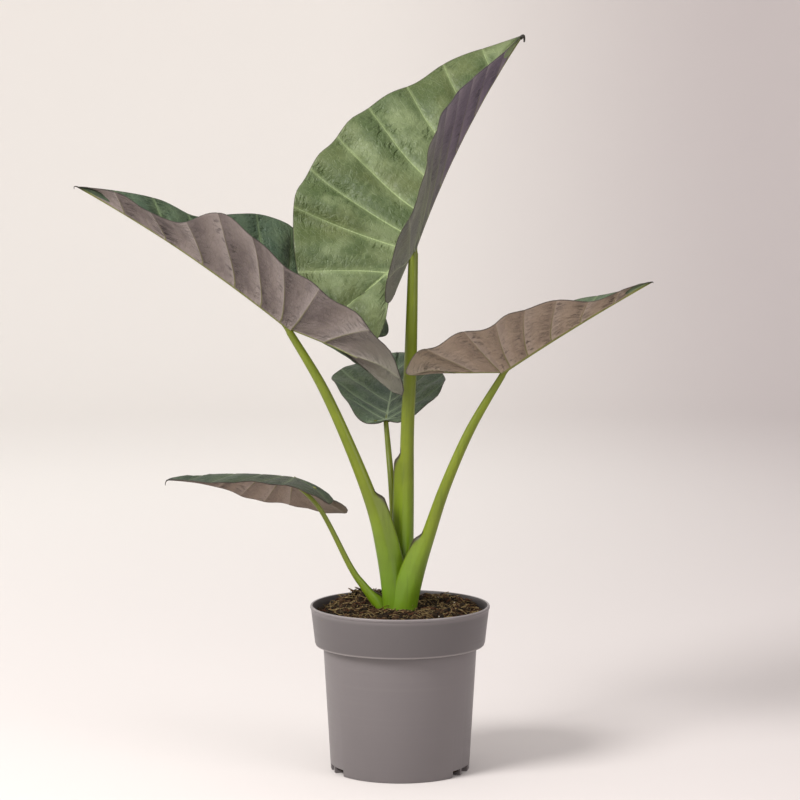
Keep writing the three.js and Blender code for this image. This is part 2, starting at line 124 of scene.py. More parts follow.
# %% Hold one material and its nodes
class Finish:
    def __init__(self, name, roughness=0.5, **plain):
        self.material = bpy.data.materials.new(name)
        self.material.use_nodes = True
        self.tree = self.material.node_tree
        self.shader = self.tree.nodes["Principled BSDF"]
        self.shader.inputs["Roughness"].default_value = roughness
        for socket, value in plain.items():
            self.shader.inputs[socket.replace("_", " ")].default_value = value

    def node(self, kind, settings=None, inputs=None, output=0):
        made = self.tree.nodes.new(kind)
        for key, value in (settings or {}).items():
            setattr(made, key, value)
        for key, value in (inputs or {}).items():
            if isinstance(value, Value):
                self.tree.links.new(value.socket, made.inputs[key])
            else:
                made.inputs[key].default_value = value
        return Value(self, made.outputs[output])

    def mix(self, factor, first, second):
        colours = {6: first, 7: second}
        filled = {k: (*v, 1) if isinstance(v, tuple) else v for k, v in colours.items()}
        return self.node("ShaderNodeMix", {"data_type": "RGBA"}, {0: factor, **filled}, output=2)

    def coats(self, base, *coats):
        for amount, colour in coats:
            base = self.mix(amount, base, colour)
        return base

    def attribute(self, name):
        return self.node("ShaderNodeAttribute", {"attribute_name": name}, output=2)

    def ramp(self, value, low, high):
        settings = {"interpolation_type": "SMOOTHSTEP"}
        return self.node("ShaderNodeMapRange", settings, {0: value, 1: low, 2: high})

    def noise(self, where, scale, detail=4.0, rough=0.55):
        inputs = {"Vector": where, "Scale": scale, "Detail": detail, "Roughness": rough}
        return self.node("ShaderNodeTexNoise", {}, inputs)

    def place(self):
        return self.node("ShaderNodeTexCoord", {}, {}, output=3)

    def stretch(self, where, scale):
        return self.node("ShaderNodeMapping", {}, {"Vector": where, "Scale": scale})

    def wire(self, **inputs):
        for name, value in inputs.items():
            self.tree.links.new(value.socket, self.shader.inputs[name.replace("_", " ")])

    def bump(self, height, distance, strength=1.0):
        inputs = {"Height": height, "Distance": distance, "Strength": strength}
        self.wire(Normal=self.node("ShaderNodeBump", {}, inputs))


print("a finish can mix, coat, ramp, stretch, wire and bump")

# %% [markdown]
# ### Colours
# A screen names a colour by three numbers up to 255 that are bent towards the darks, and shaders work in straight
# amounts of light, so `linear` unbends them. The studio is bright, so that a white floor comes out white. `tone`
# takes a colour as it looks there and gives the darker colour that the piece itself must have.

# %% Name colours as they look
LIGHT_GAIN = 1.5


def linear(red, green, blue):
    return tuple(((c / 255 + 0.055) / 1.055) ** 2.4 if c > 10 else c / 3294.6 for c in (red, green, blue))


def tone(red, green, blue):
    return tuple(c / LIGHT_GAIN for c in linear(red, green, blue))


print("a mid grey is", round(linear(128, 128, 128)[0], 3), "in linear light")

# %% [markdown]
# ## Room and light
# The plant stands in a pale studio. A wide shallow bowl serves as floor and wall, so no horizon shows from any side.
# Its paint holds painted shade: it is a little darker on the right and near the plant.

# %% Make the floor
FLOOR_RADIUS = 3.6
WALL_RISE = 3.2
WALL_BEND = 1.6
BEND_STEPS = 12
BOWL_SIDES = 96


def ring_faces(first, rings, sides):
    """The quads between rings of points that follow each other from one first point on."""
    faces = []
    for i in range(rings - 1):
        for j in range(sides):
            a, b = first + i * sides + j, first + i * sides + (j + 1) % sides
            faces.append((a, a + sides, b + sides, b))
    return faces


def studio_bowl():
    outline = [(FLOOR_RADIUS, 0.0)]
    for step in range(1, BEND_STEPS + 1):
        turn = math.pi / 2 * step / BEND_STEPS
        outline.append((FLOOR_RADIUS + WALL_BEND * math.sin(turn), WALL_BEND * (1 - math.cos(turn))))
    outline.append((FLOOR_RADIUS + WALL_BEND, WALL_RISE))
    verts = [(0, 0, 0)]
    for radius, height in outline:
        for side in range(BOWL_SIDES):
            turn = 2 * math.pi * side / BOWL_SIDES
            verts.append((radius * math.cos(turn), radius * math.sin(turn), height))
    faces = [(0, 1 + s, 1 + (s + 1) % BOWL_SIDES) for s in range(BOWL_SIDES)]
    faces += ring_faces(1, len(outline), BOWL_SIDES)
    mesh = bpy.data.meshes.new("studio_floor")
    mesh.from_pydata(verts, [], faces)
    mesh.shade_smooth()
    return mesh


floor = add_object("studio_floor", studio_bowl())
studio = Finish("studio_paint_and_shade", roughness=0.9)
where = studio.place()
sideways = studio.node("ShaderNodeSeparateXYZ", {}, {0: where})
away = studio.node("ShaderNodeVectorMath", {"operation": "LENGTH"}, {0: where}, output=1)
# painted shade: the paint grows darker towards the right
paint_with_painted_shade = studio.mix(studio.ramp(sideways, -0.25, 1.1), linear(245, 241, 236), linear(206, 198, 197))
# painted shade: the paint grows darker near the plant
paint_with_painted_shade = studio.mix((1 - studio.ramp(away, 0.3, 2.6)) * 0.5, paint_with_painted_shade, linear(182, 173, 172))
studio.wire(Base_Color=paint_with_painted_shade)
floor.data.materials.append(studio.material)
print("floor and wall", len(floor.data.polygons), "faces")

# %% [markdown]
# The light is soft and comes from the upper left, with a weaker fill from the right. Round lamps of more than a metre
# across give the wide, faint shadow beside the pot.

# %% Hang the lights
LIT_POINT = (0, 0, 0.35)


def area_light(name, place, size, power, colour):
    data = bpy.data.lights.new(name, "AREA")
    data.shape = "DISK"
    data.size = size
    data.energy = power
    data.color = colour
    light = add_object(name, data)
    light.location = place
    light.rotation_euler = (Vector(LIT_POINT) - Vector(place)).to_track_quat("-Z", "Y").to_euler()


area_light("key", (-1.9, -1.6, 2.3), 1.3, 112, (1.0, 0.99, 0.98))
area_light("fill", (2.2, -1.8, 1.3), 1.8, 24, (1.0, 0.97, 0.98))
world = bpy.data.worlds.new("studio_air")
world.use_nodes = True
world.node_tree.nodes["Background"].inputs["Color"].default_value = (0.93, 0.918, 0.92, 1)
world.node_tree.nodes["Background"].inputs["Strength"].default_value = 0.84
bpy.context.scene.world = world
bpy.context.scene.view_settings.view_transform = "Standard"
print(len(bpy.data.lights), "lights hung")

# %% [markdown]
# ## Leaves
# A blade is a thin skin with a midrib, two lobes behind the stalk and side veins that run out to a waved edge. Each
# half is a sheet of rows that start on a rib and end on the margin. The flat sheet is then carried onto a bowed midrib
# and folded, as a paper leaf would be. The same few numbers made the solid blades, so the finer skin fits them.
#
# All lengths are millimetres. `seat` is where the stalk meets the blade, `along` the midrib's direction there and
# `bow` how far the tip is pulled off that line. `face` is the way the upper side looks. For each half (-1 and 1),
# `fold` gives its lift in degrees at the seat and what is added towards the tip, the margin and the lobe, `wave` the
# height of the edge's waves, and `outline` the flattened margin, along and across the midrib.

# %% Describe the five leaves
LEAVES = {
    "leaf_top": dict(
        seat=(11.6, 20, 490), length=266, hook=(5, 9, 2.0),
        along=(0.3, 0.45, 0.8), bow=(27, 10, -11), face=(-0.25, -0.75, 0.6),
        fold={-1: (12, 0, 5, 0), 1: (66, 20, 4, 25)}, wave={-1: 4, 1: 1.2}, waves=6, quilt=2.4,
        veins=7, lobe_veins=2, outline={
            -1: [(0, 0), (-18, 4), (-52, 6), (-84, 4), (-106, 14), (-94, 54), (-60, 90), (-23, 110), (21, 124),
                 (66, 118), (126, 99), (175, 66), (213, 46), (240, 22), (266, 0)],
            1: [(0, 0), (-16, 10), (-42, 20), (-68, 30), (-80, 52), (-70, 80), (-46, 98), (-14, 108), (34, 112),
                (84, 102), (130, 76), (178, 44), (224, 17), (266, 0)]}),
    "leaf_left": dict(
        seat=(-101, -10, 418.5), length=238, hook=(5, 4, 0.7),
        along=(-0.76, -0.1, 0.62), bow=(-12, 0, -17), face=(0.5, 0, 0.85),
        fold={-1: (33, 10, 5, -10), 1: (50, 10, 0, 0)}, wave={-1: 3, 1: 3}, waves=5, quilt=2.2,
        veins=7, lobe_veins=2, outline={
            -1: [(0, 0), (-14, 8), (-41, 26), (-84, 34), (-112, 42), (-98, 66), (-62, 84), (-26, 86), (13, 78),
                 (58, 73), (100, 79), (125, 68), (143, 32), (173, 21), (203, 21), (238, 0)],
            1: [(0, 0), (-12, 14), (-34, 34), (-60, 50), (-76, 68), (-66, 84), (-42, 92), (-10, 93), (30, 91),
                (72, 89), (103, 64), (132, 38), (167, 32), (203, 17), (238, 0)]}),
    "leaf_right": dict(
        seat=(93.4, -30, 380), length=162, hook=(1, 2, 0.7),
        along=(0.76, -0.3, 0.53), bow=(8, -5, -2), face=(-0.4, 0, 0.9),
        fold={-1: (26, 10, 0, 0), 1: (44, 8, 0, 0)}, wave={-1: 2.5, 1: 2.5}, waves=4, quilt=1.8,
        veins=6, lobe_veins=2, outline={
            -1: [(0, 0), (-10, 14), (-30, 36), (-54, 54), (-64, 68), (-50, 80), (-24, 82), (8, 76), (50, 60),
                 (90, 34), (130, 11), (162, 0)],
            1: [(0, 0), (-12, 15), (-38, 42), (-58, 70), (-48, 80), (-19, 80), (8, 70), (30, 58), (54, 55),
                (89, 38), (112, 14), (140, 8), (162, 0)]}),
    "leaf_back": dict(
        seat=(-13.4, 40, 328.7), length=152, hook=(2, 2, 0.6),
        along=(0.08, 0.93, 0.36), bow=(0, 0, 0), face=(0, -0.3, 0.95),
        fold={-1: (10, 0, 0, 0), 1: (20, 0, 0, 0)}, wave={-1: 2, 1: 2}, waves=4, quilt=1.8,
        veins=5, lobe_veins=1, outline={
            -1: [(0, 0), (-10, 6), (-15, 18), (-5, 28), (29, 43), (67, 60), (87, 53), (110, 39), (134, 22),
                 (152, 0)],
            1: [(0, 0), (-8, 6), (-15, 16), (-7, 31), (17, 48), (50, 57), (87, 46), (112, 33), (134, 20),
                (152, 0)]}),
    "leaf_low": dict(
        seat=(-100.4, 0, 278.3), length=122, hook=(1, 5, 0.7),
        along=(-0.9, -0.2, 0.14), bow=(0, 0, -18), face=(0, -0.05, 1),
        fold={-1: (-6, 0, 0, -60), 1: (-50, 0, 0, 0)}, wave={-1: 1.5, 1: 1.5}, waves=4, quilt=1.4,
        veins=5, lobe_veins=1, outline={
            -1: [(0, 0), (-10, 7), (-24, 15), (-36, 25), (-32, 38), (-12, 42), (14, 37), (50, 28), (72, 32),
                 (93, 22), (108, 10), (122, 0)],
            1: [(0, 0), (-12, 8), (-30, 18), (-58, 26), (-63, 36), (-38, 42), (-9, 40), (34, 37), (58, 25),
                (88, 12), (122, 0)]}),
}
print(len(LEAVES), "leaves described")

# %% [markdown]
# ### From the flat leaf to the folded one
# `fold_leaf` takes points of the flattened leaf, given along and across the midrib, and lifts each half by its fold
# angle about the bowed midrib. The edge also gets its waves here, because a real edge is longer than the rib and has
# to ripple.

# %% Carry flat points onto the folded leaf
HALF_WIDTH_SHARE = 0.42


def unit(vectors):
    return vectors / np.linalg.norm(vectors, axis=-1, keepdims=True)


def fold_leaf(leaf, along, across, side):
    u = along / leaf["length"]
    start = unit(np.array(leaf["along"], float))
    bow = np.array(leaf["bow"], float)
    on_rib = np.array(leaf["seat"]) + along[..., None] * start + (u * u)[..., None] * bow
    heading = unit(start * leaf["length"] + 2 * u[..., None] * bow)
    face = np.array(leaf["face"], float)
    face = unit(face - heading * (heading @ face)[..., None])
    outward = np.cross(heading, face) * side
    junction, to_tip, to_margin, to_lobe = leaf["fold"][side]
    half_width = HALF_WIDTH_SHARE * leaf["length"]
    lift = np.radians(junction + np.where(u > 0, to_tip * u, -to_lobe * u) + to_margin * across / half_width)
    ripple = leaf["wave"][side] * (across / half_width) ** 2 * np.sin(2 * math.pi * leaf["waves"] * u + side)
    out = across * np.cos(lift) - ripple * np.sin(lift)
    up = across * np.sin(lift) + ripple * np.cos(lift)
    return on_rib + out[..., None] * outward + up[..., None] * face


top_leaf = LEAVES["leaf_top"]
tip = fold_leaf(top_leaf, np.array([float(top_leaf["length"])]), np.zeros(1), 1)[0]
print("the top leaf's tip stands", tip[2].round(), "mm above the floor")

# %% [markdown]
# ### Smooth lines
# Margins and stalks are given by a few points each. A smooth curve through them, eased into and out of every point,
# keeps the numbers few and the line fair. `run_along` measures how far along a line each of its points lies.

# %% Draw a smooth line through a few points
def smooth_line(points, t):
    """Points on the smooth curve through a list of points, at places t from 0 to 1."""
    points = np.array(points, float)
    last = len(points) - 1
    place = np.clip(np.asarray(t) * last, 0, last)
    k = np.minimum(place.astype(int), last - 1)
    w = (place - k)[..., None]
    a, b = points[np.maximum(k - 1, 0)], points[k]
    c, d = points[k + 1], points[np.minimum(k + 2, last)]
    ease_in, ease_out = (c - a) / 2, (d - b) / 2
    cubic = 2 * b - 2 * c + ease_in + ease_out
    square = 3 * c - 3 * b - 2 * ease_in - ease_out
    return cubic * w**3 + square * w**2 + ease_in * w + b


def bent_line(start, bend, stop, t):
    """Points on the curve that leaves a start towards a bend and comes from there to its stop."""
    return (1 - t) ** 2 * start + 2 * t * (1 - t) * bend + t * t * stop


def run_along(points):
    return np.concatenate([[0], np.cumsum(np.linalg.norm(np.diff(points, axis=0), axis=1))])


margin = smooth_line(top_leaf["outline"][-1], np.linspace(0, 1, 401))
print("the top leaf's left margin is", run_along(margin)[-1].round(), "mm long")

# %% [markdown]
# ### Rows along the side veins
# Each row starts on a rib and ends on the margin. The rows first go round the lobe, in on one side of its rib and out
# on the other, and then up the blade to the tip. They lie close together beside a side vein, where the skin bends most,
# and wider apart between two veins. A count goes with them: it is whole on each vein and runs on from one to the next.

# %% Lay out the rows of one half
PHASES = np.array([0, 0.03, 0.07, 0.13, 0.22, 0.34, 0.5, 0.66, 0.78, 0.87, 0.93, 0.97])
ROOT_CROWD = 1.5
LOBE_LEAN = 0.6
LOBE_RIB_SHARE = 0.6
FIRST_VEIN_SHARE = 0.3


def leaf_rows(leaf, side):
    outline = leaf["outline"][side]
    samples = np.linspace(0, 1, 401)
    edge = smooth_line(outline, samples)
    run = run_along(edge)
    share = run / run[-1]
    backward = [LOBE_LEAN * q - p if p < 0 else 0 for p, q in outline]
    tip = int(np.argmax(backward))
    lobe_end = np.array(outline[tip], float) * LOBE_RIB_SHARE
    lobe_share = np.interp(tip / (len(outline) - 1), samples, share)
    first_share = lobe_share + (1 - lobe_share) * FIRST_VEIN_SHARE
    lobes, veins = leaf["lobe_veins"], leaf["veins"]
    inner = (np.arange(lobes)[:, None] + PHASES).ravel() / lobes
    blade = np.append((np.arange(veins)[:, None] + PHASES).ravel(), veins) / veins
    rib_place = leaf["length"] * blade**ROOT_CROWD
    roots = np.concatenate([inner[:, None] * lobe_end, (1 - inner)[:, None] * lobe_end,
                            np.stack([rib_place, 0 * blade], 1)])
    shares = np.concatenate([lobe_share * inner, lobe_share + (first_share - lobe_share) * inner,
                             first_share + (1 - first_share) * blade])
    ends = np.stack([np.interp(shares, share, edge[:, 0]), np.interp(shares, share, edge[:, 1])], 1)
    count = np.concatenate([inner * lobes, (1 + inner) * lobes, 2 * lobes + blade * veins])
    return roots, ends, count


print("rows in one half of the top leaf:", len(leaf_rows(top_leaf, 1)[2]))

# %% [markdown]
# ### Skin, ribs and swellings
# On the underside the midrib and the veins stand out as ridges, and on the upper side they lie in shallow grooves.
# Between two veins the skin puffs up like a quilt and wrinkles a little. All of this is real form, made from distances
# measured on the flat leaf, because it shows in the outline and in every light. Each point also keeps how near it is
# to a vein, to the midrib and to the edge, for the finish to read.

# %% Cover one half with points
BLADE = 0.9
MIDRIB_HEIGHT = 2.4
MIDRIB_TIP = 0.5
MIDRIB_WIDTH = 2.2
MIDRIB_TIP_WIDTH = 1.2
LOBE_RIB_HEIGHT = 1.2
LOBE_RIB_WIDTH = 1.6
VEIN_HEIGHT = 0.9
VEIN_WIDTH = 1.1
RIB_GROOVE = 0.35
VEIN_GROOVE = 0.3
VEIN_BEND = 1.25
PUFF_REACH = 70
COLUMNS = 60
EDGE_CROWD = 1.15
QUILT_GAIN = 1.7
WRINKLE = 0.4
WRINKLE_STEP = 9.5


def ridge(distance, width):
    return np.exp(-((distance / width) ** 2))


def half_sheet(leaf, side):
    roots, ends, count = leaf_rows(leaf, side)
    b = np.linspace(0, 1, COLUMNS + 1) ** EDGE_CROWD
    run = ends - roots
    along = roots[:, :1] + run[:, :1] * b**VEIN_BEND
    across = roots[:, 1:] + run[:, 1:] * b
    flat = np.stack([along, across], -1)
    vein_rows = np.flatnonzero(np.abs(count - np.round(count)) < 1e-6)
    nearest = vein_rows[np.argmin(np.abs(count[:, None] - count[vein_rows][None]), axis=1)]
    to_vein = np.linalg.norm(flat - flat[nearest], axis=-1)
    span = np.linalg.norm(np.gradient(flat, count, axis=0), axis=-1)
    to_rib = np.linalg.norm(flat - flat[:, :1], axis=-1)
    to_edge = np.linalg.norm(flat - flat[:, -1:], axis=-1)
    fade = 1 - np.clip(along / leaf["length"], 0, 1)
    lobe = along < -0.5
    rib_height = np.where(lobe, LOBE_RIB_HEIGHT, MIDRIB_TIP + MIDRIB_HEIGHT * fade)
    rib_width = np.where(lobe, LOBE_RIB_WIDTH, MIDRIB_TIP_WIDTH + MIDRIB_WIDTH * fade)
    under = rib_height * ridge(to_rib, rib_width)
    under = under + VEIN_HEIGHT * (1 - 0.8 * b) * ridge(to_vein, VEIN_WIDTH - 0.5 * b) * (1 - ridge(to_rib, 5))
    groove = RIB_GROOVE * ridge(to_rib, 2.0) + VEIN_GROOVE * ridge(to_vein, 1.2)
    fields = dict(along=along, across=across * side, under=under, groove=groove,
                  puff=swelling(leaf, along, across, count[:, None], b), rib=to_rib / (0.5 + 0.6 * fade),
                  edge=to_edge, count=0 * along + count[:, None], span=span, out=0 * along + b)
    return fold_leaf(leaf, along, across, side), fields


def swelling(leaf, along, across, count, b):
    """How far the skin puffs up between two veins, with its wrinkles."""
    from_seat = np.hypot(along, across)
    spread = np.minimum(1, from_seat / PUFF_REACH)
    between = np.sin(math.pi * (count % 1 + 0 * b))
    puff = QUILT_GAIN * leaf["quilt"] * between * spread * np.sin(math.pi * b)
    wander = 0.4 * np.sin(along / 4 + 3 * count) + 0.3 * np.sin(across / 7 + 5 * count)
    wrinkle = np.sin(2 * math.pi * (from_seat / WRINKLE_STEP + wander))
    return puff + WRINKLE * wrinkle * between**0.7 * spread * np.sin(math.pi * b) ** 0.6


swell = half_sheet(top_leaf, -1)[1]["puff"]
print("the top leaf's left half swells up to", swell.max().round(1), "mm")

# %% [markdown]
# ### The thread at the tip
# A real blade doesn't stop at its point: the midrib runs on as a short dark thread that dries and curls down. It is a
# thin tube along a bent line.

# %% Curl the tip
TIP_DARK = 9
HOOK_STEPS = 9
HOOK_SIDES = 8
HOOK_ROOT = 4
HOOK_TAPER = 0.6


def tip_hook(leaf):
    reach, drop, radius = leaf["hook"]
    ends = fold_leaf(leaf, np.array([leaf["length"] - 8.0, leaf["length"]]), np.zeros(2), 1)
    heading = unit(ends[1] - ends[0])
    start, bend = ends[1] - heading * HOOK_ROOT, ends[1] + heading * reach
    stop = ends[1] + heading * reach * 0.7 + np.array([0, 0, -drop])
    t = np.linspace(0, 1, HOOK_STEPS)[:, None]
    centre = bent_line(start, bend, stop, t)
    tangent = unit(np.gradient(centre, axis=0))
    side = unit(np.cross(tangent, (0.1, 1, 0.2)))
    over = np.cross(side, tangent)
    turn = 2 * math.pi * np.arange(HOOK_SIDES) / HOOK_SIDES
    size = radius * (1 - HOOK_TAPER * t)
    circle = side[:, None] * np.cos(turn)[:, None] + over[:, None] * np.sin(turn)[:, None]
    rings = centre[:, None] + size[:, None] * circle
    last = (HOOK_STEPS - 1) * HOOK_SIDES
    faces = [tuple(reversed(range(HOOK_SIDES))), tuple(range(last, last + HOOK_SIDES))]
    faces += ring_faces(0, HOOK_STEPS, HOOK_SIDES)
    return rings.reshape(-1, 3), [tuple(reversed(face)) for face in faces]


print("a tip's thread has", len(tip_hook(top_leaf)[1]), "faces")

# %% [markdown]
# ### Closing the blade
# The two halves of a blade meet on the ribs, so their points there are merged first. The skins are then pushed apart
# along the direction that each point faces, and the blade is closed along every edge that only one face has.

# %% Join the two halves
def joined_halves(leaf):
    """Both halves as one sheet: its points, its quads and its fields."""
    sheets = [half_sheet(leaf, side) for side in (-1, 1)]
    points = np.concatenate([sheet.reshape(-1, 3) for sheet, _ in sheets])
    fields = {k: np.concatenate([kept[k].reshape(-1) for _, kept in sheets]) for k in sheets[0][1]}
    _, first, index = np.unique(np.round(points, 3), axis=0, return_index=True, return_inverse=True)
    index = index.reshape(-1)
    quads, offset = [], 0
    for side, (sheet, _) in zip((-1, 1), sheets):
        rows, columns = sheet.shape[:2]
        grid = index[offset:offset + rows * columns].reshape(rows, columns)
        offset += rows * columns
        half = np.stack([grid[:-1, :-1], grid[:-1, 1:], grid[1:, 1:], grid[1:, :-1]], -1).reshape(-1, 4)
        quads.append(half if side < 0 else half[:, ::-1])
    return points[first], np.concatenate(quads), {k: v[first] for k, v in fields.items()}


def point_normals(points, quads):
    corners = [points[quads[:, k]] for k in range(4)]
    face_normals = np.cross(corners[2] - corners[0], corners[3] - corners[1])
    normals = np.zeros_like(points)
    for k in range(4):
        np.add.at(normals, quads[:, k], face_normals)
    return unit(normals + 1e-12)


def open_edges(faces):
    """The edges that only one face has, each in that face's direction."""
    edges = {}
    for face in faces:
        for a, b in zip(face, face[1:] + face[:1]):
            if (b, a) in edges:
                del edges[(b, a)]
            else:
                edges[(a, b)] = True
    return list(edges)


joined_points, joined_quads, _ = joined_halves(top_leaf)
print("the top leaf's halves join in", len(joined_points), "points and", len(joined_quads), "quads")

# %% [markdown]
# The upper and the under skin share one set of faces, so a closed blade is the sheet twice, once turned over, with a
# strip between them and the thread at the end. What each point knows of its place goes on the mesh as attributes, and
# the flattened leaf becomes its UV map.

# %% Build one blade as a closed thin mesh
def keep_on_points(mesh, key, values):
    """Store one number for each point of a mesh, for its finish to read."""
    mesh.attributes.new(key, "FLOAT", "POINT").data.foreach_set("value", np.array(values, np.float32))


def blade_mesh(name, leaf):
    points, quads, fields = joined_halves(leaf)
    normals = point_normals(points, quads)
    if (normals @ np.array(leaf["face"], float)).sum() < 0:
        quads, normals = quads[:, ::-1], -normals
    middle = points + normals * fields["puff"][:, None]
    top = middle + normals * (BLADE / 2 - fields["groove"])[:, None]
    below = middle - normals * (BLADE / 2 + fields["under"])[:, None]
    total = len(points)
    whole = [list(dict.fromkeys(quad)) for quad in quads.tolist()]
    whole = [face for face in whole if len(face) > 2]
    polygons = whole + [[total + v for v in reversed(face)] for face in whole]
    polygons += [[b, a, total + a, total + b] for a, b in open_edges(whole)]
    hook, hook_faces = tip_hook(leaf)
    polygons += [[2 * total + v for v in face] for face in hook_faces]
    mesh = bpy.data.meshes.new(name)
    mesh.from_pydata((np.concatenate([top, below, hook]) * MM).tolist(), [], polygons)
    fields["tip"] = np.clip((fields["along"] - leaf["length"] + TIP_DARK) / TIP_DARK, 0, 1)
    for key in ("rib", "edge", "count", "span", "out", "tip", "along"):
        last = np.full(len(hook), 1.0 if key == "tip" else 0.0)
        keep_on_points(mesh, key, np.concatenate([fields[key], fields[key], last]))
    keep_on_points(mesh, "under", np.repeat([0.0, 1.0, 1.0], [total, total, len(hook)]))
    flat = np.stack([fields["across"], fields["along"]], 1) / 100
    flat = np.concatenate([flat, flat, np.zeros((len(hook), 2))])
    corner_vertex = np.array([v for polygon in polygons for v in polygon])
    mesh.uv_layers.new(name="flat").data.foreach_set("uv", flat[corner_vertex].astype(np.float32).ravel())
    mesh.shade_smooth()
    return mesh


blades = {name: blade_mesh(name + "_skin", leaf) for name, leaf in LEAVES.items()}
print("faces of the blades:", [len(mesh.polygons) for mesh in blades.values()])

# %% [markdown]
# ### Veins in the finish
# The count that each point keeps tells the shader how far the nearest vein is: it goes up and down between two whole
# numbers, and `span` turns a step of it into millimetres. From that distance come the vein's pale line, the halo
# beside it, the puckers that lie across it like the rungs of a ladder, which are dents with painted shade in them,
# and the painted shade of the creases beside it. Drawn so, a vein stays thin however coarse the mesh is. The fine net
# between the veins is a cell pattern on the flattened leaf.

# %% Draw the veins
def vein_marks(look, where, below, count, out):
    """How strongly each kind of mark shows at each place of the leaf."""
    to_vein = count.math("PINGPONG", count, 0.5) * look.attribute("span")
    width = 1.25 - out * 0.95
    line = 1 - look.ramp(to_vein / width, 0.25, 0.95)
    midrib = 1 - look.ramp(look.attribute("rib"), 0.6, 1.6)
    flat = look.node("ShaderNodeUVMap", {"uv_map": "flat"})
    net = look.node("ShaderNodeTexVoronoi", {"feature": "DISTANCE_TO_EDGE"}, {"Vector": flat, "Scale": 22.0})
    ladder = look.node("ShaderNodeCombineXYZ", {}, {0: count * 3.4, 1: out * 17, 2: below * 3})
    rungs = look.ramp(look.noise(ladder, 1.0, 3), 0.46, 0.68)
    flank = (1 - look.ramp(to_vein, 6.0, 18.0)) * look.ramp(to_vein, 0.6, 3.5)
    beside = (1 - look.ramp(to_vein, 4.0, 13.0)) * look.ramp(to_vein, 0.3, 2.0)
    return dict(
        midrib=midrib,
        vein=line.math("MAXIMUM", line * (1.0 - 0.6 * out), midrib),
        halo=1 - look.ramp(to_vein / width, 0.5, 7.0),
        net=1 - look.ramp(net, 0.0, 0.08),
        # pucker_and_shade marks the puckers' dents and the painted shade in them; crease_shade marks painted shade
        # beside the veins
        pucker_and_shade=rungs * flank * look.ramp(look.noise(where, 19, 2), 0.4, 0.6),
        crease_shade=look.ramp(rungs, 0.2, 0.9) * beside * look.ramp(look.noise(where, 17, 2), 0.44, 0.58))


print("vein marks ready")

# %% [markdown]
# ### Leaf finish
# The upper side is a matt sage green, clouded with darker and more olive patches, with pale veins and painted shade in
# its puckers. The underside is a muted purple brown with the same veins in olive, with a painted highlight on one side
# of each vein, painted shade on the other and painted shade in its creases. The edge is a thin dark line. One recipe
# gives both sides, mixed by the `under` value of each point, and each leaf has its own tones, because the leaves differ
# in age and hang in different light.

# %% Mix the leaf finish
def leaf_finish(name, green_base, upper, cloud, olive, under, under_dark_and_shade, vein, under_vein):
    look = Finish(name, roughness=0.5, Specular_IOR_Level=0.4)
    where = look.place()
    below, count, out = (look.attribute(key) for key in ("under", "count", "out"))
    marks = vein_marks(look, where, below, count, out)
    clouds = look.ramp(look.noise(where, 30, 4), 0.36, 0.64)
    patches = look.ramp(look.noise(where, 14, 3) + 0.12 * out, 0.5, 0.7)
    along_veins = look.node("ShaderNodeCombineXYZ", {}, {0: count * 1.5, 1: out * 1.6, 2: below * 7})
    streaks = look.noise(along_veins, 2.2, 3)
    grain = look.noise(where, 420, 3)
    skin = look.coats(
        look.mix(clouds, upper, cloud), (patches * 0.55, olive),
        # painted shade in the puckers
        (look.ramp(streaks, 0.52, 0.72) * 0.45, cloud), (marks["pucker_and_shade"] * 0.6, cloud),
        (look.ramp(out + 0.3 * clouds, 0.75, 1.15) * 0.4, cloud), (marks["halo"] * 0.24, vein),
        (marks["net"] * 0.1, vein), (marks["vein"] * 0.85, vein))
    # painted light on the underside: painted shade leads up to each vein, a painted highlight follows it, and the
    # creases get painted shade
    bay = count.math("FRACT", count)
    painted_highlight = look.mix(0.4, under, tone(220, 208, 204))
    shade = look.mix(0.6, under_dark_and_shade, tone(46, 36, 40))
    wavering = look.attribute("along") + 14 * look.noise(where, 40, 2)
    green = 1 - look.ramp(wavering, green_base - 25, green_base + 85)
    belly = look.coats(
        under, (look.ramp(streaks, 0.4, 0.75) * 0.6, under_dark_and_shade), (look.ramp(bay, 0.45, 1.0) * 0.5, under_dark_and_shade),
        ((1 - look.ramp(bay, 0.05, 0.5)) * 0.4, painted_highlight), (patches * 0.2, under_dark_and_shade),
        (marks["crease_shade"] * 0.75, shade), (marks["net"] * 0.1, under_vein), (marks["vein"] * 0.75, under_vein),
        (marks["midrib"] * 0.6, tone(138, 146, 56)), (green, look.mix(0.45, skin, under)))
    colour = look.coats(
        look.mix(below, skin, belly),
        ((1 - look.ramp(look.attribute("edge"), 0.2, 0.9)) * 0.6, tone(74, 58, 54)),
        (look.attribute("tip") * 0.85, tone(34, 28, 28)))
    look.wire(Base_Color=colour, Roughness=0.42 + 0.2 * grain + 0.05 * below)
    relief = look.noise(where, 60, 5) * 0.35 + streaks * 0.7 - marks["net"] * 0.1
    look.bump(relief + grain * 0.08 - marks["pucker_and_shade"] * 0.8, 0.0026, 0.8)
    return look.material


print("leaf finish ready")

# %% [markdown]
# ### Dressing the blades
# Each skin takes the place of its solid blade. The first number says how far up the midrib, in millimetres, the
# underside is still green: on the top leaf the lower part is, and on the others nothing.

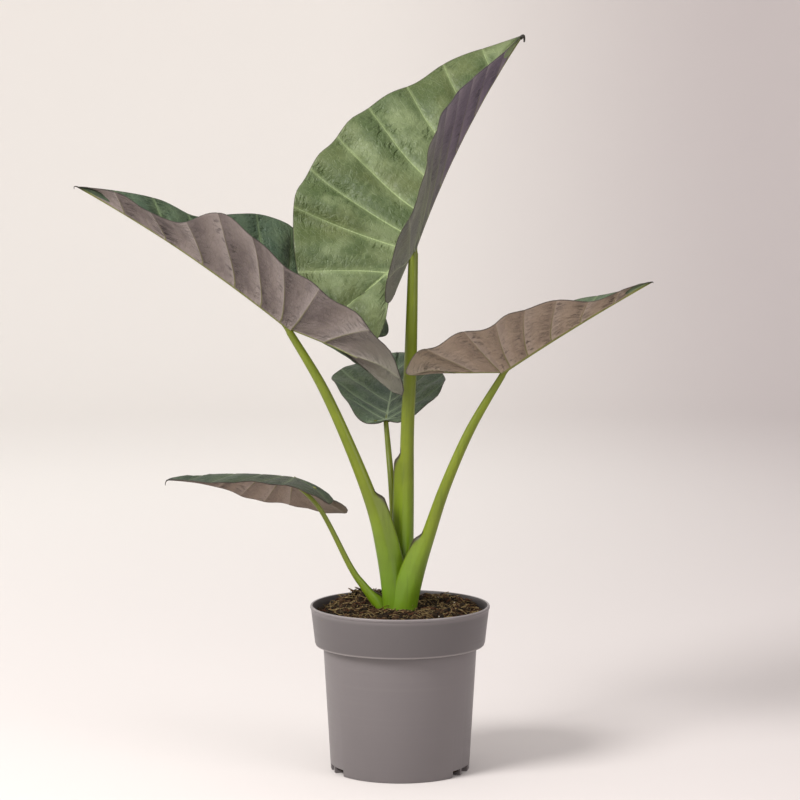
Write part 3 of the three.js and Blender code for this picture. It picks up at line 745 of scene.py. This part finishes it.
# %% Dress the five blades
LEAF_TONES = {
    # green underside up to, upper, cloud, olive, under, dark under (also the painted shade), vein
    "leaf_top": (45, (134, 148, 102), (84, 102, 56), (92, 100, 40),
                 (122, 108, 122), (86, 76, 92), (184, 202, 142)),
    "leaf_left": (-90, (88, 108, 82), (60, 82, 60), (84, 98, 60),
                  (146, 133, 128), (92, 80, 80), (134, 156, 106)),
    "leaf_right": (-80, (104, 122, 92), (80, 98, 70), (96, 108, 64),
                   (178, 158, 138), (136, 116, 100), (150, 168, 118)),
    "leaf_back": (-80, (96, 116, 84), (62, 82, 58), (84, 98, 56),
                  (132, 118, 106), (104, 90, 82), (164, 182, 144)),
    "leaf_low": (-80, (78, 92, 70), (52, 66, 50), (74, 76, 52),
                 (170, 150, 134), (126, 108, 96), (116, 130, 94)),
}
UNDER_VEIN = (116, 116, 50)

for name, mesh in blades.items():
    piece = add_object(name + "_skin", mesh)
    green_base, *tones = LEAF_TONES[name]
    tones = [tone(*colour) for colour in (*tones, UNDER_VEIN)]
    mesh.materials.append(leaf_finish(name + "_finish", green_base, *tones))
    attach(piece, "root")
    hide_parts(name)
    print(name, len(mesh.polygons), "faces")

# %% [markdown]
# ## Stalks
# Each stalk is round and fleshy, thick at the foot and thin at the leaf. Below, one side opens into a sheath whose
# edge stands out as a flap and clasps the younger stalk inside it. Each centre line is given by a few points with a
# radius, and ends just under its leaf's seat. `flap` gives the height at which the sheath opens, how far its edge
# stands out and on which side.

# %% Describe the stalks
SEAT_DROP = BLADE / 2 + MIDRIB_HEIGHT + MIDRIB_TIP + 0.3
STALKS = {
    "leaf_top": dict(below=SEAT_DROP, flap=(300, 5.5, 180), end=4.6, path=[
        (3, 2, 128, 8.5), (4, 3, 161, 8.5), (6, 10, 255, 7.2), (7, 14, 321, 6.4), (10, 17, 388, 6)]),
    "leaf_left": dict(below=SEAT_DROP, flap=(264, 6, 0), end=3.4, path=[
        (-5, -5, 128, 10.5), (-6, -5, 162, 10.5), (-13, -6, 205, 9), (-25, -8, 251, 6.9), (-47, -9, 308, 5.5),
        (-73, -10, 365, 4.6)]),
    "leaf_right": dict(below=SEAT_DROP, flap=(226, 5, 180), end=3, path=[
        (3, -10, 128, 11), (5, -10, 156, 11), (14, -14, 190, 9.2), (26, -18, 224, 6.6), (42.5, -24, 273, 5.2),
        (66, -27, 327, 4.3)]),
    "leaf_back": dict(below=SEAT_DROP, flap=(0, 0, 0), end=2.4, path=[
        (-1, 10, 128, 5), (-2, 12, 159, 4.6), (-7, 20, 254, 3.4), (-11, 34, 300, 2.8)]),
    "leaf_low": dict(below=SEAT_DROP + 1.4, flap=(168, 3, 0), end=1.9, path=[
        (-12, 0, 128, 6.5), (-18, 0, 153, 6.2), (-34, 0, 174, 3.9), (-47, 0, 193, 2.9), (-75, 0, 247, 2.2)]),
}
print(len(STALKS), "stalks described")

# %% [markdown]
# ### Rings along a stalk
# A ring of points is carried along each centre line, and its shape changes with height: low down the flap stands out
# of it. Each point keeps how near it is to the flap's dry edge. Where the stalk meets the leaf it isn't cut off. A
# few last rings bend over and melt into the midrib, as they do on the plant.

# %% Shape the rings
RINGS = 110
RING_SIDES = 44
FLAP_OPENING = 9
FLAP_SHARPNESS = 7
NECK_RINGS = 14
NECK_RUN = 15
NECK_HANDLE = 5
NECK_TAPER = 0.72


def smoothstep(value, low, high):
    t = np.clip((value - low) / (high - low), 0, 1)
    return t * t * (3 - 2 * t)


def stalk_rings(name, stalk):
    leaf = LEAVES[name]
    end = np.array(leaf["seat"]) - unit(np.array(leaf["face"], float)) * stalk["below"]
    knots = np.array([p[:3] for p in stalk["path"]] + [tuple(end)], float)
    radii = [p[3] for p in stalk["path"]] + [stalk["end"]]
    dense = np.linspace(0, 1, 801)
    run = run_along(smooth_line(knots, dense))
    places = np.interp(np.linspace(0, run[-1], RINGS), run, dense)
    centre = smooth_line(knots, places)
    radius = smooth_line(np.array(radii)[:, None], places)[:, 0]
    tangent = unit(np.gradient(centre, axis=0))
    sideways = unit(np.cross(tangent, (0, -1, 0)))
    front = unit(np.cross(sideways, tangent))
    turn = 2 * math.pi * np.arange(RING_SIDES) / RING_SIDES
    flap_top, flap_width, heading = stalk["flap"]
    facing = np.maximum(0, np.cos(turn - math.radians(heading)))
    below_top = flap_top - centre[:, 2]
    flap = flap_width * smoothstep(below_top, 0, FLAP_OPENING)[:, None] * facing**FLAP_SHARPNESS
    ridges = 1 + 0.012 * np.cos(9 * turn) + 0.01 * np.cos(5 * turn + 1)
    out = (radius[:, None] + flap) * np.cos(turn)
    forth = radius[:, None] * ridges * np.sin(turn)
    rings = centre[:, None] + sideways[:, None] * out[..., None] + front[:, None] * forth[..., None]
    withered = np.where(below_top > -3, np.exp(-np.maximum(below_top - 5, 0) / 8), 0)[:, None]
    rim = np.where(below_top > 0, 0.35, 0)[:, None]
    edge = (facing**8 * withered + facing**50 * rim) * (flap_width > 0)
    neck = neck_rings(leaf, centre[-1], tangent[-1], radius[-1], sideways[-1], turn)
    return np.concatenate([rings, neck]), np.concatenate([edge, 0 * neck[..., 0]])


def neck_rings(leaf, end, tangent, radius, sideways, turn):
    """The last rings, where the stalk bends over and melts into the midrib."""
    face = unit(np.array(leaf["face"], float))
    target = np.array(leaf["seat"]) + unit(np.array(leaf["along"], float)) * NECK_RUN - face
    t = (np.arange(1, NECK_RINGS + 1) / NECK_RINGS)[:, None]
    handle = end + tangent * NECK_HANDLE
    centre = bent_line(end, handle, target, t)
    heading = unit(2 * (1 - t) * (handle - end) + 2 * t * (target - handle))
    side = unit(sideways - heading * (heading @ sideways)[:, None])
    forth = unit(np.cross(side, heading))
    size = radius * (1 - NECK_TAPER * t)
    circle = side[:, None] * (size * np.cos(turn))[..., None] + forth[:, None] * (size * np.sin(turn))[..., None]
    return centre[:, None] + circle


print("points on the top leaf's stalk:", stalk_rings("leaf_top", STALKS["leaf_top"])[1].size)

# %% [markdown]
# ### One piece from all stalks
# The five stalks grow from one crown, so they are one mesh. Faces are easier to turn outwards afterwards than to get
# right one by one, so a small helper merges doubled points and lets Blender work out which way is out.

# %% Sweep the stalks
def face_outwards(mesh):
    bm = bmesh.new()
    bm.from_mesh(mesh)
    bmesh.ops.remove_doubles(bm, verts=bm.verts, dist=0.01 * MM)
    bmesh.ops.recalc_face_normals(bm, faces=bm.faces)
    bm.to_mesh(mesh)
    bm.free()


def stalks_mesh():
    verts, faces, edges, heights = [], [], [], []
    for name, stalk in STALKS.items():
        rings, edge = stalk_rings(name, stalk)
        first, last = len(verts), len(verts) + (len(rings) - 1) * RING_SIDES
        verts += (rings.reshape(-1, 3) * MM).tolist()
        edges += edge.reshape(-1).tolist()
        heights += np.repeat(np.linspace(0, 1, len(rings)), RING_SIDES).tolist()
        faces += ring_faces(first, len(rings), RING_SIDES)
        faces += [tuple(first + j for j in reversed(range(RING_SIDES))), tuple(range(last, last + RING_SIDES))]
    mesh = bpy.data.meshes.new("stalk_skins")
    mesh.from_pydata(verts, [], faces)
    keep_on_points(mesh, "edge", edges)
    keep_on_points(mesh, "height", heights)
    face_outwards(mesh)
    mesh.shade_smooth()
    return mesh


stalks = add_object("stalk_skins", stalks_mesh())
print("stalks", len(stalks.data.polygons), "faces")

# %% [markdown]
# ### Stalk finish
# The stalks are a fresh grass green at the foot that turns yellower upwards and olive at the leaf, with long faint
# streaks, a dull shine and dark, dry edges where the sheaths open.

# %% Mix the stalk finish
def stalk_finish():
    look = Finish("stalk_flesh", roughness=0.4, Specular_IOR_Level=0.45)
    where = look.place()
    streaks = look.noise(look.stretch(where, (260, 260, 14)), 1.0, 4)
    mottle = look.ramp(look.noise(where, 30, 3), 0.35, 0.7)
    height = look.attribute("height")
    colour = look.coats(
        look.mix(look.ramp(height, 0.02, 0.45), tone(114, 160, 14), tone(126, 140, 14)),
        (look.ramp(height, 0.8, 1.0), tone(106, 112, 18)), (mottle * 0.35, tone(94, 108, 10)),
        (look.ramp(streaks, 0.5, 0.75) * 0.4, tone(88, 108, 14)),
        (look.ramp(look.attribute("edge"), 0.12, 0.6) * 0.95, tone(48, 32, 20)))
    look.wire(Base_Color=colour, Roughness=0.34 + 0.14 * streaks)
    look.bump(streaks, 0.0004, 0.35)
    return look.material


stalks.data.materials.append(stalk_finish())
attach(stalks, "root")
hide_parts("stalks")
print("stalks dressed in", stalks.data.materials[0].name)

# %% [markdown]
# ## Pot
# The pot is one moulded plastic wall, so it is turned: one profile carried round the axis. The profile goes up the
# outside, over the rounded lip and down the inside, in millimetres from the axis and above the floor.

# %% Draw the pot's profile
POT_HEIGHT = 157
RIM_RADIUS = 85
BAND_HEIGHT = 38
BAND_FOOT_RADIUS = 80.6
BODY_TOP_RADIUS = 72.8
BASE_RADIUS = 65.8
WALL = 2.2
FLOOR = 3
FOOT_BEVEL = 1.2


def pot_profile():
    band_foot = POT_HEIGHT - BAND_HEIGHT
    outer = [(0, 0), (BASE_RADIUS - FOOT_BEVEL, 0), (BASE_RADIUS - 0.35, 0.35), (BASE_RADIUS, FOOT_BEVEL),
             (BODY_TOP_RADIUS, band_foot + 1.5), (BAND_FOOT_RADIUS - 2.5, band_foot),
             (BAND_FOOT_RADIUS - 0.8, band_foot + 0.7), (BAND_FOOT_RADIUS, band_foot + 3),
             (RIM_RADIUS - 0.7, POT_HEIGHT - 3.2), (RIM_RADIUS, POT_HEIGHT - 2.4),
             (RIM_RADIUS, POT_HEIGHT - 1.2), (RIM_RADIUS - 0.3, POT_HEIGHT - 0.4), (RIM_RADIUS - 0.9, POT_HEIGHT)]
    inner = [(RIM_RADIUS - WALL, POT_HEIGHT - 0.3), (RIM_RADIUS - WALL - 0.6, POT_HEIGHT - 2),
             (BAND_FOOT_RADIUS - WALL, band_foot + WALL), (BODY_TOP_RADIUS - WALL, band_foot - 2),
             (BASE_RADIUS - WALL, FLOOR + 1), (BASE_RADIUS - WALL - 1, FLOOR), (0, FLOOR)]
    return outer + inner


print("profile of", len(pot_profile()), "points")

# %% [markdown]
# ### A node tree that turns it
# Geometry Nodes suit a turned piece, because the profile can be the object's own mesh, a line of points, which the
# tree sweeps round a circle. A circle of radius one adds that radius to every point, so the tree draws the points in
# by one again. Two helpers serve this tree and the next one: `new_tree` makes a tree with named inputs and keeps each
# input's identifier, and the function that `node_maker` gives adds one node with its settings, links and values.

# %% Build the turning tree
def new_tree(name, inputs):
    tree = bpy.data.node_groups.new(name, "GeometryNodeTree")
    add = tree.interface.new_socket
    sockets = {label: add(label, in_out="INPUT", socket_type="NodeSocket" + sort).identifier
               for label, sort in inputs.items()}
    add("Result", in_out="OUTPUT", socket_type="NodeSocketGeometry")
    return tree, sockets


def node_maker(tree):
    def node(sort, settings=None, links=None, values=None):
        made = tree.nodes.new(sort)
        for key, value in (settings or {}).items():
            setattr(made, key, value)
        for key, value in (values or {}).items():
            made.inputs[key].default_value = value
        for key, socket in (links or {}).items():
            tree.links.new(socket, made.inputs[key])
        return made.outputs
    return node


def turning_tree():
    tree, sockets = new_tree("turn_profile", {"Profile": "Geometry", "Sides": "Int", "Plastic": "Material"})
    node = node_maker(tree)
    given = node("NodeGroupInput")
    outline = node("GeometryNodeMeshToCurve", links={"Mesh": given["Profile"]})[0]
    circle = node("GeometryNodeCurvePrimitiveCircle", links={"Resolution": given["Sides"]},
                  values={"Radius": 1.0})[0]
    swept = node("GeometryNodeCurveToMesh", links={"Curve": circle, "Profile Curve": outline})[0]
    place = node("GeometryNodeInputPosition")[0]
    split = node("ShaderNodeSeparateXYZ", links={0: place})
    flat = node("ShaderNodeCombineXYZ", links={0: split[0], 1: split[1]})[0]
    away = node("ShaderNodeVectorMath", {"operation": "NORMALIZE"}, {0: flat})[0]
    drawn_in = node("ShaderNodeVectorMath", {"operation": "SUBTRACT"}, {0: place, 1: away})[0]
    turned = node("GeometryNodeSetPosition", links={"Geometry": swept, "Position": drawn_in})[0]
    real = node("GeometryNodeRealizeInstances", links={"Geometry": turned})[0]
    painted = node("GeometryNodeSetMaterial", links={"Geometry": real, "Material": given["Plastic"]})[0]
    node("NodeGroupOutput", links={0: painted})
    return tree, sockets


turning = turning_tree()
print("the turning tree has", len(turning[0].nodes), "nodes")

# %% [markdown]
# ### Pot finish
# The plastic is a flat warm grey with a soft sheen and very fine rings from the mould. The band under the rim looks a
# little darker than the body, the inside is darkened with painted shade, and a thin painted highlight lies on the lip
# and under the band.

# %% Mix the pot finish
def pot_finish():
    look = Finish("pot_plastic", roughness=0.4, Specular_IOR_Level=0.6)
    where = look.place()
    cloud = look.noise(where, 9, 3)
    grain = look.noise(where, 900, 2)
    rings = look.noise(look.stretch(where, (3, 3, 300)), 1.0, 3)
    height = look.node("ShaderNodeSeparateXYZ", {}, {0: where}, output=2)
    inside_shade = look.attribute("inside_shade")
    band = look.ramp(height, 0.118, 0.119) * (1 - look.ramp(height, 0.15, 0.1535))
    # thin bands for a painted highlight at the band's foot and on the lip
    foot_highlight = look.ramp(height, 0.1186, 0.1192) * (1 - look.ramp(height, 0.1202, 0.1214))
    lip_highlight = look.ramp(height, 0.1556, 0.1564)
    # the inside gets painted shade, and the lip and the band's foot a painted highlight
    colour = look.coats(
        look.mix(cloud, tone(128, 121, 122), tone(120, 114, 115)),
        (look.ramp(rings, 0.5, 0.8) * 0.12, tone(150, 143, 141)), (band * 0.8, tone(97, 91, 92)),
        (inside_shade * 0.8, tone(66, 62, 62)), ((foot_highlight * 0.55 + lip_highlight * 0.4) * (1 - inside_shade), tone(182, 174, 172)))
    look.wire(Base_Color=colour, Roughness=0.36 + 0.12 * rings)
    look.bump(grain * 0.4 + rings * 0.6, 0.00012, 0.5)
    return look.material


print("pot finish ready")

# %% [markdown]
# ### Running the tree
# A modifier runs the tree on a helper object. Its inputs are set by their identifiers, and the evaluated shape is
# kept as a plain mesh, so no modifier is left on the finished piece.

# %% Turn the pot
POT_SIDES = 160


def plain_mesh(piece, name):
    """The evaluated shape of a piece as a mesh of its own."""
    graph = bpy.context.evaluated_depsgraph_get()
    mesh = bpy.data.meshes.new_from_object(piece.evaluated_get(graph))
    mesh.name = name
    return mesh


def shape_by_tree(name, start, tree, sockets, values):
    """Run a tree on a helper that holds the starting mesh, and keep only the resulting mesh."""
    helper = add_object(name + "_helper", start)
    modifier = helper.modifiers.new("shape", "NODES")
    modifier.node_group = tree
    for label, value in values.items():
        modifier[sockets[label]] = value
    mesh = plain_mesh(helper, name)
    bpy.data.objects.remove(helper)
    return mesh


def turned_pot():
    points = [(x * MM, -z * MM, 0) for x, z in pot_profile()]
    line = bpy.data.meshes.new("pot_profile")
    line.from_pydata(points, [(i, i + 1) for i in range(len(points) - 1)], [])
    mesh = shape_by_tree("pot_wall", line, *turning, {"Sides": POT_SIDES, "Plastic": pot_finish()})
    face_outwards(mesh)
    return mesh


pot = add_object("pot_wall", turned_pot())
corners = np.array([v.co[:] for v in pot.data.vertices])
print("turned pot spans", corners.min(0).round(4), corners.max(0).round(4), len(pot.data.polygons), "faces")

# %% [markdown]
# ### Slots through the foot
# Water leaves the pot by three long slots where the wall meets the floor, each with one upright rib left standing in
# it. A curved block for each half slot is taken out of the turned pot.

# %% Cut the drainage slots
SLOT_ANGLES = (-157, -28, 90)
SLOT_SPAN = 27
SLOT_HEIGHT = 6.5
SLOT_RIB = 2.4
SLOT_RIB_PLACE = -0.15
BLOCK_STEPS = 10
BLOCK_SECTION = ((BASE_RADIUS - 8, -2), (BASE_RADIUS + 4, -2), (BASE_RADIUS + 4, SLOT_HEIGHT),
                 (BASE_RADIUS - 8, SLOT_HEIGHT))


def block_between(start, stop):
    """A curved block through the wall's foot, between two angles."""
    turns = [start + (stop - start) * i / BLOCK_STEPS for i in range(BLOCK_STEPS + 1)]
    verts = [(radius * MM * math.cos(t), radius * MM * math.sin(t), height * MM)
             for radius, height in BLOCK_SECTION for t in turns]
    count = len(turns)
    faces = []
    for side in range(4):
        a, b = side * count, (side + 1) % 4 * count
        faces += [(a + i, a + i + 1, b + i + 1, b + i) for i in range(BLOCK_STEPS)]
    faces += [(0, count, 2 * count, 3 * count), tuple(k * count + BLOCK_STEPS for k in (3, 2, 1, 0))]
    return verts, faces


def slot_blocks():
    half = math.radians(SLOT_SPAN / 2)
    rib_half = SLOT_RIB / 2 / BASE_RADIUS
    rib_at = SLOT_RIB_PLACE * half
    verts, faces = [], []
    for angle in SLOT_ANGLES:
        middle = math.radians(angle)
        for start, stop in ((-half, rib_at - rib_half), (rib_at + rib_half, half)):
            more, sides = block_between(middle + start, middle + stop)
            faces += [tuple(len(verts) + v for v in f) for f in sides]
            verts += more
    mesh = bpy.data.meshes.new("slot_blocks")
    mesh.from_pydata(verts, [], faces)
    face_outwards(mesh)
    return mesh


blocks = add_object("slot_blocks", slot_blocks())
cut = pot.modifiers.new("slots", "BOOLEAN")
cut.operation = "DIFFERENCE"
cut.solver = "EXACT"
cut.object = blocks
pot.data = plain_mesh(pot, "pot_wall")
pot.modifiers.clear()
bpy.data.objects.remove(blocks)
print("pot with slots", len(pot.data.polygons), "faces")

# %% [markdown]
# ### Inside and outside
# The finish paints shade on the inside, so each corner of a face says whether it lies there. An inner face of the wall
# looks towards the axis. The wall is shaded smooth, and edges sharper than the limit stay crisp.

# %% Mark the inside and dress the pot
CREASE_LIMIT = math.radians(28)


def mark_inside(mesh):
    layer = mesh.attributes.new("inside_shade", "FLOAT", "CORNER")
    for polygon in mesh.polygons:
        centre = polygon.center
        inward = centre.x * polygon.normal.x + centre.y * polygon.normal.y < 0
        # 1 where the finish paints shade on the inside
        value = 1.0 if inward and FLOOR * MM < centre.z < (POT_HEIGHT - 1) * MM else 0.0
        for k in polygon.loop_indices:
            layer.data[k].value = value


mark_inside(pot.data)
pot.data.shade_smooth()
pot.data.set_sharp_from_angle(angle=CREASE_LIMIT)
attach(pot, "root")
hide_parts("pot")
print("pot dressed in", pot.data.materials[0].name)

# %% [markdown]
# ## Soil
# The mix is dark peat and coir, humped round the stalks and lower at the wall. Its form is a height for every place,
# the same as in the solid, with finer clods of noise on top. A skirt of three rings closes it down to the pot's floor.

# %% Raise the soil
SOIL_LEVEL = 150
SOIL_RISE = 3
SOIL_WALL = 80.3
SOIL_RINGS = 77
SOIL_SIDES = 220
SOIL_EDGE_DROP = 6
CLOD_HEIGHT = 1.5
CLOD_SIZE = 9
CRUMB_SIZE = 3.2
HEAPS = ((-30, 34, 10, 900), (48, 30, 6, 1100))
SKIRT = ((77.5, 124), (69.4, 114), (62, FLOOR + 0.5))


def soil_height(x, y):
    height = SOIL_LEVEL + SOIL_RISE
    for heap_x, heap_y, size, spread in HEAPS:
        height = height + size * np.exp(-((x - heap_x) ** 2 + (y - heap_y) ** 2) / spread)
    lumps = 1.6 * np.sin(0.11 * x + 0.4) * np.cos(0.13 * y + 1.1) + 1.2 * np.sin(0.29 * x - 0.21 * y + 2)
    lumps = lumps + 0.9 * np.cos(0.41 * y + 0.33 * x)
    return height - SOIL_EDGE_DROP * smoothstep(np.hypot(x, y), 52, 76) + lumps


def clods(x, y):
    values = [noise.fractal((a / CLOD_SIZE, b / CLOD_SIZE, 3.1), 0.9, 2.1, 5)
              + 0.8 * abs(noise.noise((a / CRUMB_SIZE, b / CRUMB_SIZE, 7.7)))
              for a, b in zip(x, y)]
    return CLOD_HEIGHT * np.array(values)


def soil_mesh():
    turns = 2 * math.pi * np.arange(SOIL_SIDES) / SOIL_SIDES
    rings = np.linspace(0, 1, SOIL_RINGS + 1)[1:] * SOIL_WALL
    x = np.concatenate([[0.0], (rings[:, None] * np.cos(turns)).ravel()])
    y = np.concatenate([[0.0], (rings[:, None] * np.sin(turns)).ravel()])
    top = np.stack([x, y, soil_height(x, y) + clods(x, y) - 0.6], 1)
    skirt = [np.stack([radius * np.cos(turns), radius * np.sin(turns), 0 * turns + height], 1)
             for radius, height in SKIRT]
    verts = np.concatenate([top, *skirt, [[0, 0, FLOOR + 0.5]]])
    ring_count = SOIL_RINGS + len(SKIRT)
    last = 1 + (ring_count - 1) * SOIL_SIDES
    faces = [(0, 1 + j, 1 + (j + 1) % SOIL_SIDES) for j in range(SOIL_SIDES)]
    faces += ring_faces(1, ring_count, SOIL_SIDES)
    faces += [(last + j, len(verts) - 1, last + (j + 1) % SOIL_SIDES) for j in range(SOIL_SIDES)]
    mesh = bpy.data.meshes.new("soil_bed")
    mesh.from_pydata((verts * MM).tolist(), [], faces)
    mesh.shade_smooth()
    return mesh


soil = add_object("soil_bed", soil_mesh())
print("soil", len(soil.data.polygons), "faces")

# %% [markdown]
# ### Soil finish
# Wet peat is dark, brown on its crumbs, with no shine, and the hollows between the crumbs get painted shade, almost
# black. One recipe with three tones serves the bed and everything strewn on it.

# %% Mix the soil finish
def soil_finish(name, light, dark_and_hollow_shade, tint):
    look = Finish(name, roughness=0.95, Specular_IOR_Level=0.15)
    where = look.place()
    crumbs = look.noise(where, 420, 6, 0.7)
    patches = look.ramp(look.noise(where, 60, 4), 0.35, 0.7)
    # the darkest tone goes into the bump's hollows: partly the peat's own dark, partly painted shade
    crumbs_and_hollow_shade = look.mix(look.ramp(crumbs, 0.35, 0.68), tone(*dark_and_hollow_shade), tone(*light))
    look.wire(Base_Color=look.mix(patches * 0.5, crumbs_and_hollow_shade, tone(*tint)))
    look.bump(crumbs, 0.002, 0.9)
    return look.material


soil.data.materials.append(soil_finish("peat", (92, 78, 54), (30, 24, 18), (74, 54, 36)))
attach(soil, "root")
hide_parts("soil")
print("soil dressed in", soil.data.materials[0].name)

# %% [markdown]
# ### Crumbs, strands and grains
# Potting mix is a tangle of peat crumbs and coir strands with a few white grains. Hundreds of nearly equal bits lie
# on one surface, which is what Geometry Nodes are made for: points are strewn over the soil's top, each point takes
# a copy of one small shape, turned and sized at random from a fixed seed, and the copies become real mesh at the end.
# A crumb is a ball of twenty faces, dented by noise, and a strand a thin bent tube.

# %% Build the strewing tree
LITTER_INPUTS = {"Ground": "Geometry", "Density": "Float", "Smallest": "Float", "Largest": "Float",
                 "Lowest": "Float", "Tilt": "Float", "Seed": "Int", "Finish": "Material"}
STRAND_BEND = {"Resolution": 7, "Start": (-0.5, 0, -0.03), "Middle": (0.05, 0.3, 0.16), "End": (0.5, 0.05, 0.0)}


def litter_shape(node, kind):
    if kind == "strands":
        arc = node("GeometryNodeCurveQuadraticBezier", values=STRAND_BEND)[0]
        ring = node("GeometryNodeCurvePrimitiveCircle", values={"Resolution": 4, "Radius": 0.026})[0]
        return node("GeometryNodeCurveToMesh", links={"Curve": arc, "Profile Curve": ring},
                    values={"Fill Caps": True})[0]
    ball = node("GeometryNodeMeshIcoSphere", values={"Radius": 0.5, "Subdivisions": 1})[0]
    dents = node("ShaderNodeTexNoise", values={"Scale": 2.3, "Detail": 2.0})[0]
    place = node("GeometryNodeInputPosition")[0]
    pushed = node("ShaderNodeVectorMath", {"operation": "MULTIPLY"}, {0: place, 1: dents})[0]
    return node("GeometryNodeSetPosition", links={"Geometry": ball, "Offset": pushed})[0]


def strewing_tree(kind):
    tree, sockets = new_tree("strew_" + kind, LITTER_INPUTS)
    node = node_maker(tree)
    given = node("NodeGroupInput")
    seed = given["Seed"]
    height = node("ShaderNodeSeparateXYZ", links={0: node("GeometryNodeInputPosition")[0]})["Z"]
    high = node("FunctionNodeCompare", {"operation": "GREATER_THAN"}, {0: height, 1: given["Lowest"]})[0]
    points = node("GeometryNodeDistributePointsOnFaces", links={
        "Mesh": given["Ground"], "Selection": high, "Density": given["Density"], "Seed": seed})[0]
    shape = litter_shape(node, kind)
    lean = node("ShaderNodeCombineXYZ", links={0: given["Tilt"], 1: given["Tilt"]}, values={2: math.pi})[0]
    back = node("ShaderNodeVectorMath", {"operation": "SCALE"}, {0: lean}, {"Scale": -1.0})[0]
    turn = node("FunctionNodeRandomValue", {"data_type": "FLOAT_VECTOR"}, {0: back, 1: lean, "Seed": seed})[0]
    size = node("FunctionNodeRandomValue", {"data_type": "FLOAT"},
                {2: given["Smallest"], 3: given["Largest"], "Seed": seed})[1]
    placed = node("GeometryNodeInstanceOnPoints", links={
        "Points": points, "Instance": shape, "Rotation": turn, "Scale": size})[0]
    real = node("GeometryNodeRealizeInstances", links={"Geometry": placed})[0]
    painted = node("GeometryNodeSetMaterial", links={"Geometry": real, "Material": given["Finish"]})[0]
    node("NodeGroupOutput", links={0: painted})
    return tree, sockets


print("a strewing tree has", len(LITTER_INPUTS), "inputs")

# %% [markdown]
# ### Strewing
# The bits fall only on the soil's top, and not so near the wall that they would stick through it. Lengths here are
# metres, the density is points for each square metre, and a bit leans at most by its tilt, in radians. Each kind of
# litter is a piece of its own, and its name ends in the number that Blender gives to a second object of one name.

# %% Strew the litter
GROUND_RADIUS = 0.0765
STEEPEST = 0.2
SOIL_LOW = 0.1435
PIECE_NUMBER = ".001"
LITTER = {
    # kind, density, smallest, largest, tilt, seed, then the finish's name and its light, dark (also the painted shade
    # in hollows) and tint
    "peat_crumbs": ("crumbs", 62000.0, 0.0012, 0.0042, 3.1, 3,
                    "peat_crumb", (66, 52, 34), (12, 10, 8), (44, 34, 24)),
    "bark_bits": ("crumbs", 9000.0, 0.002, 0.0062, 3.1, 8,
                  "bark_bit", (112, 86, 58), (38, 26, 18), (88, 60, 42)),
    "coir_strands": ("strands", 42000.0, 0.006, 0.018, 0.6, 5,
                     "coir_tan", (196, 172, 122), (92, 74, 46), (140, 116, 72)),
    "coir_dark": ("strands", 30000.0, 0.006, 0.017, 0.7, 9,
                  "coir_red", (120, 76, 50), (52, 32, 22), (96, 54, 36)),
    "white_grains": ("crumbs", 1500.0, 0.0007, 0.0016, 3.1, 2,
                     "grain_white", (226, 216, 200), (190, 178, 160), (206, 196, 180)),
}


def open_ground():
    """The soil's top without its side, up to where bits would touch the pot."""
    mesh = soil.data.copy()
    bm = bmesh.new()
    bm.from_mesh(mesh)
    away = [f for f in bm.faces if f.calc_center_median().xy.length > GROUND_RADIUS or f.normal.z < STEEPEST]
    bmesh.ops.delete(bm, geom=away, context="FACES")
    bm.to_mesh(mesh)
    bm.free()
    return mesh


for name, (kind, density, smallest, largest, tilt, seed, *finish) in LITTER.items():
    values = {"Density": density, "Smallest": smallest, "Largest": largest, "Lowest": SOIL_LOW,
              "Tilt": tilt, "Seed": seed, "Finish": soil_finish(*finish)}
    piece = add_object(name + PIECE_NUMBER, shape_by_tree(name, open_ground(), *strewing_tree(kind), values))
    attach(piece, "root")
    print(piece.name, len(piece.data.polygons), "faces")
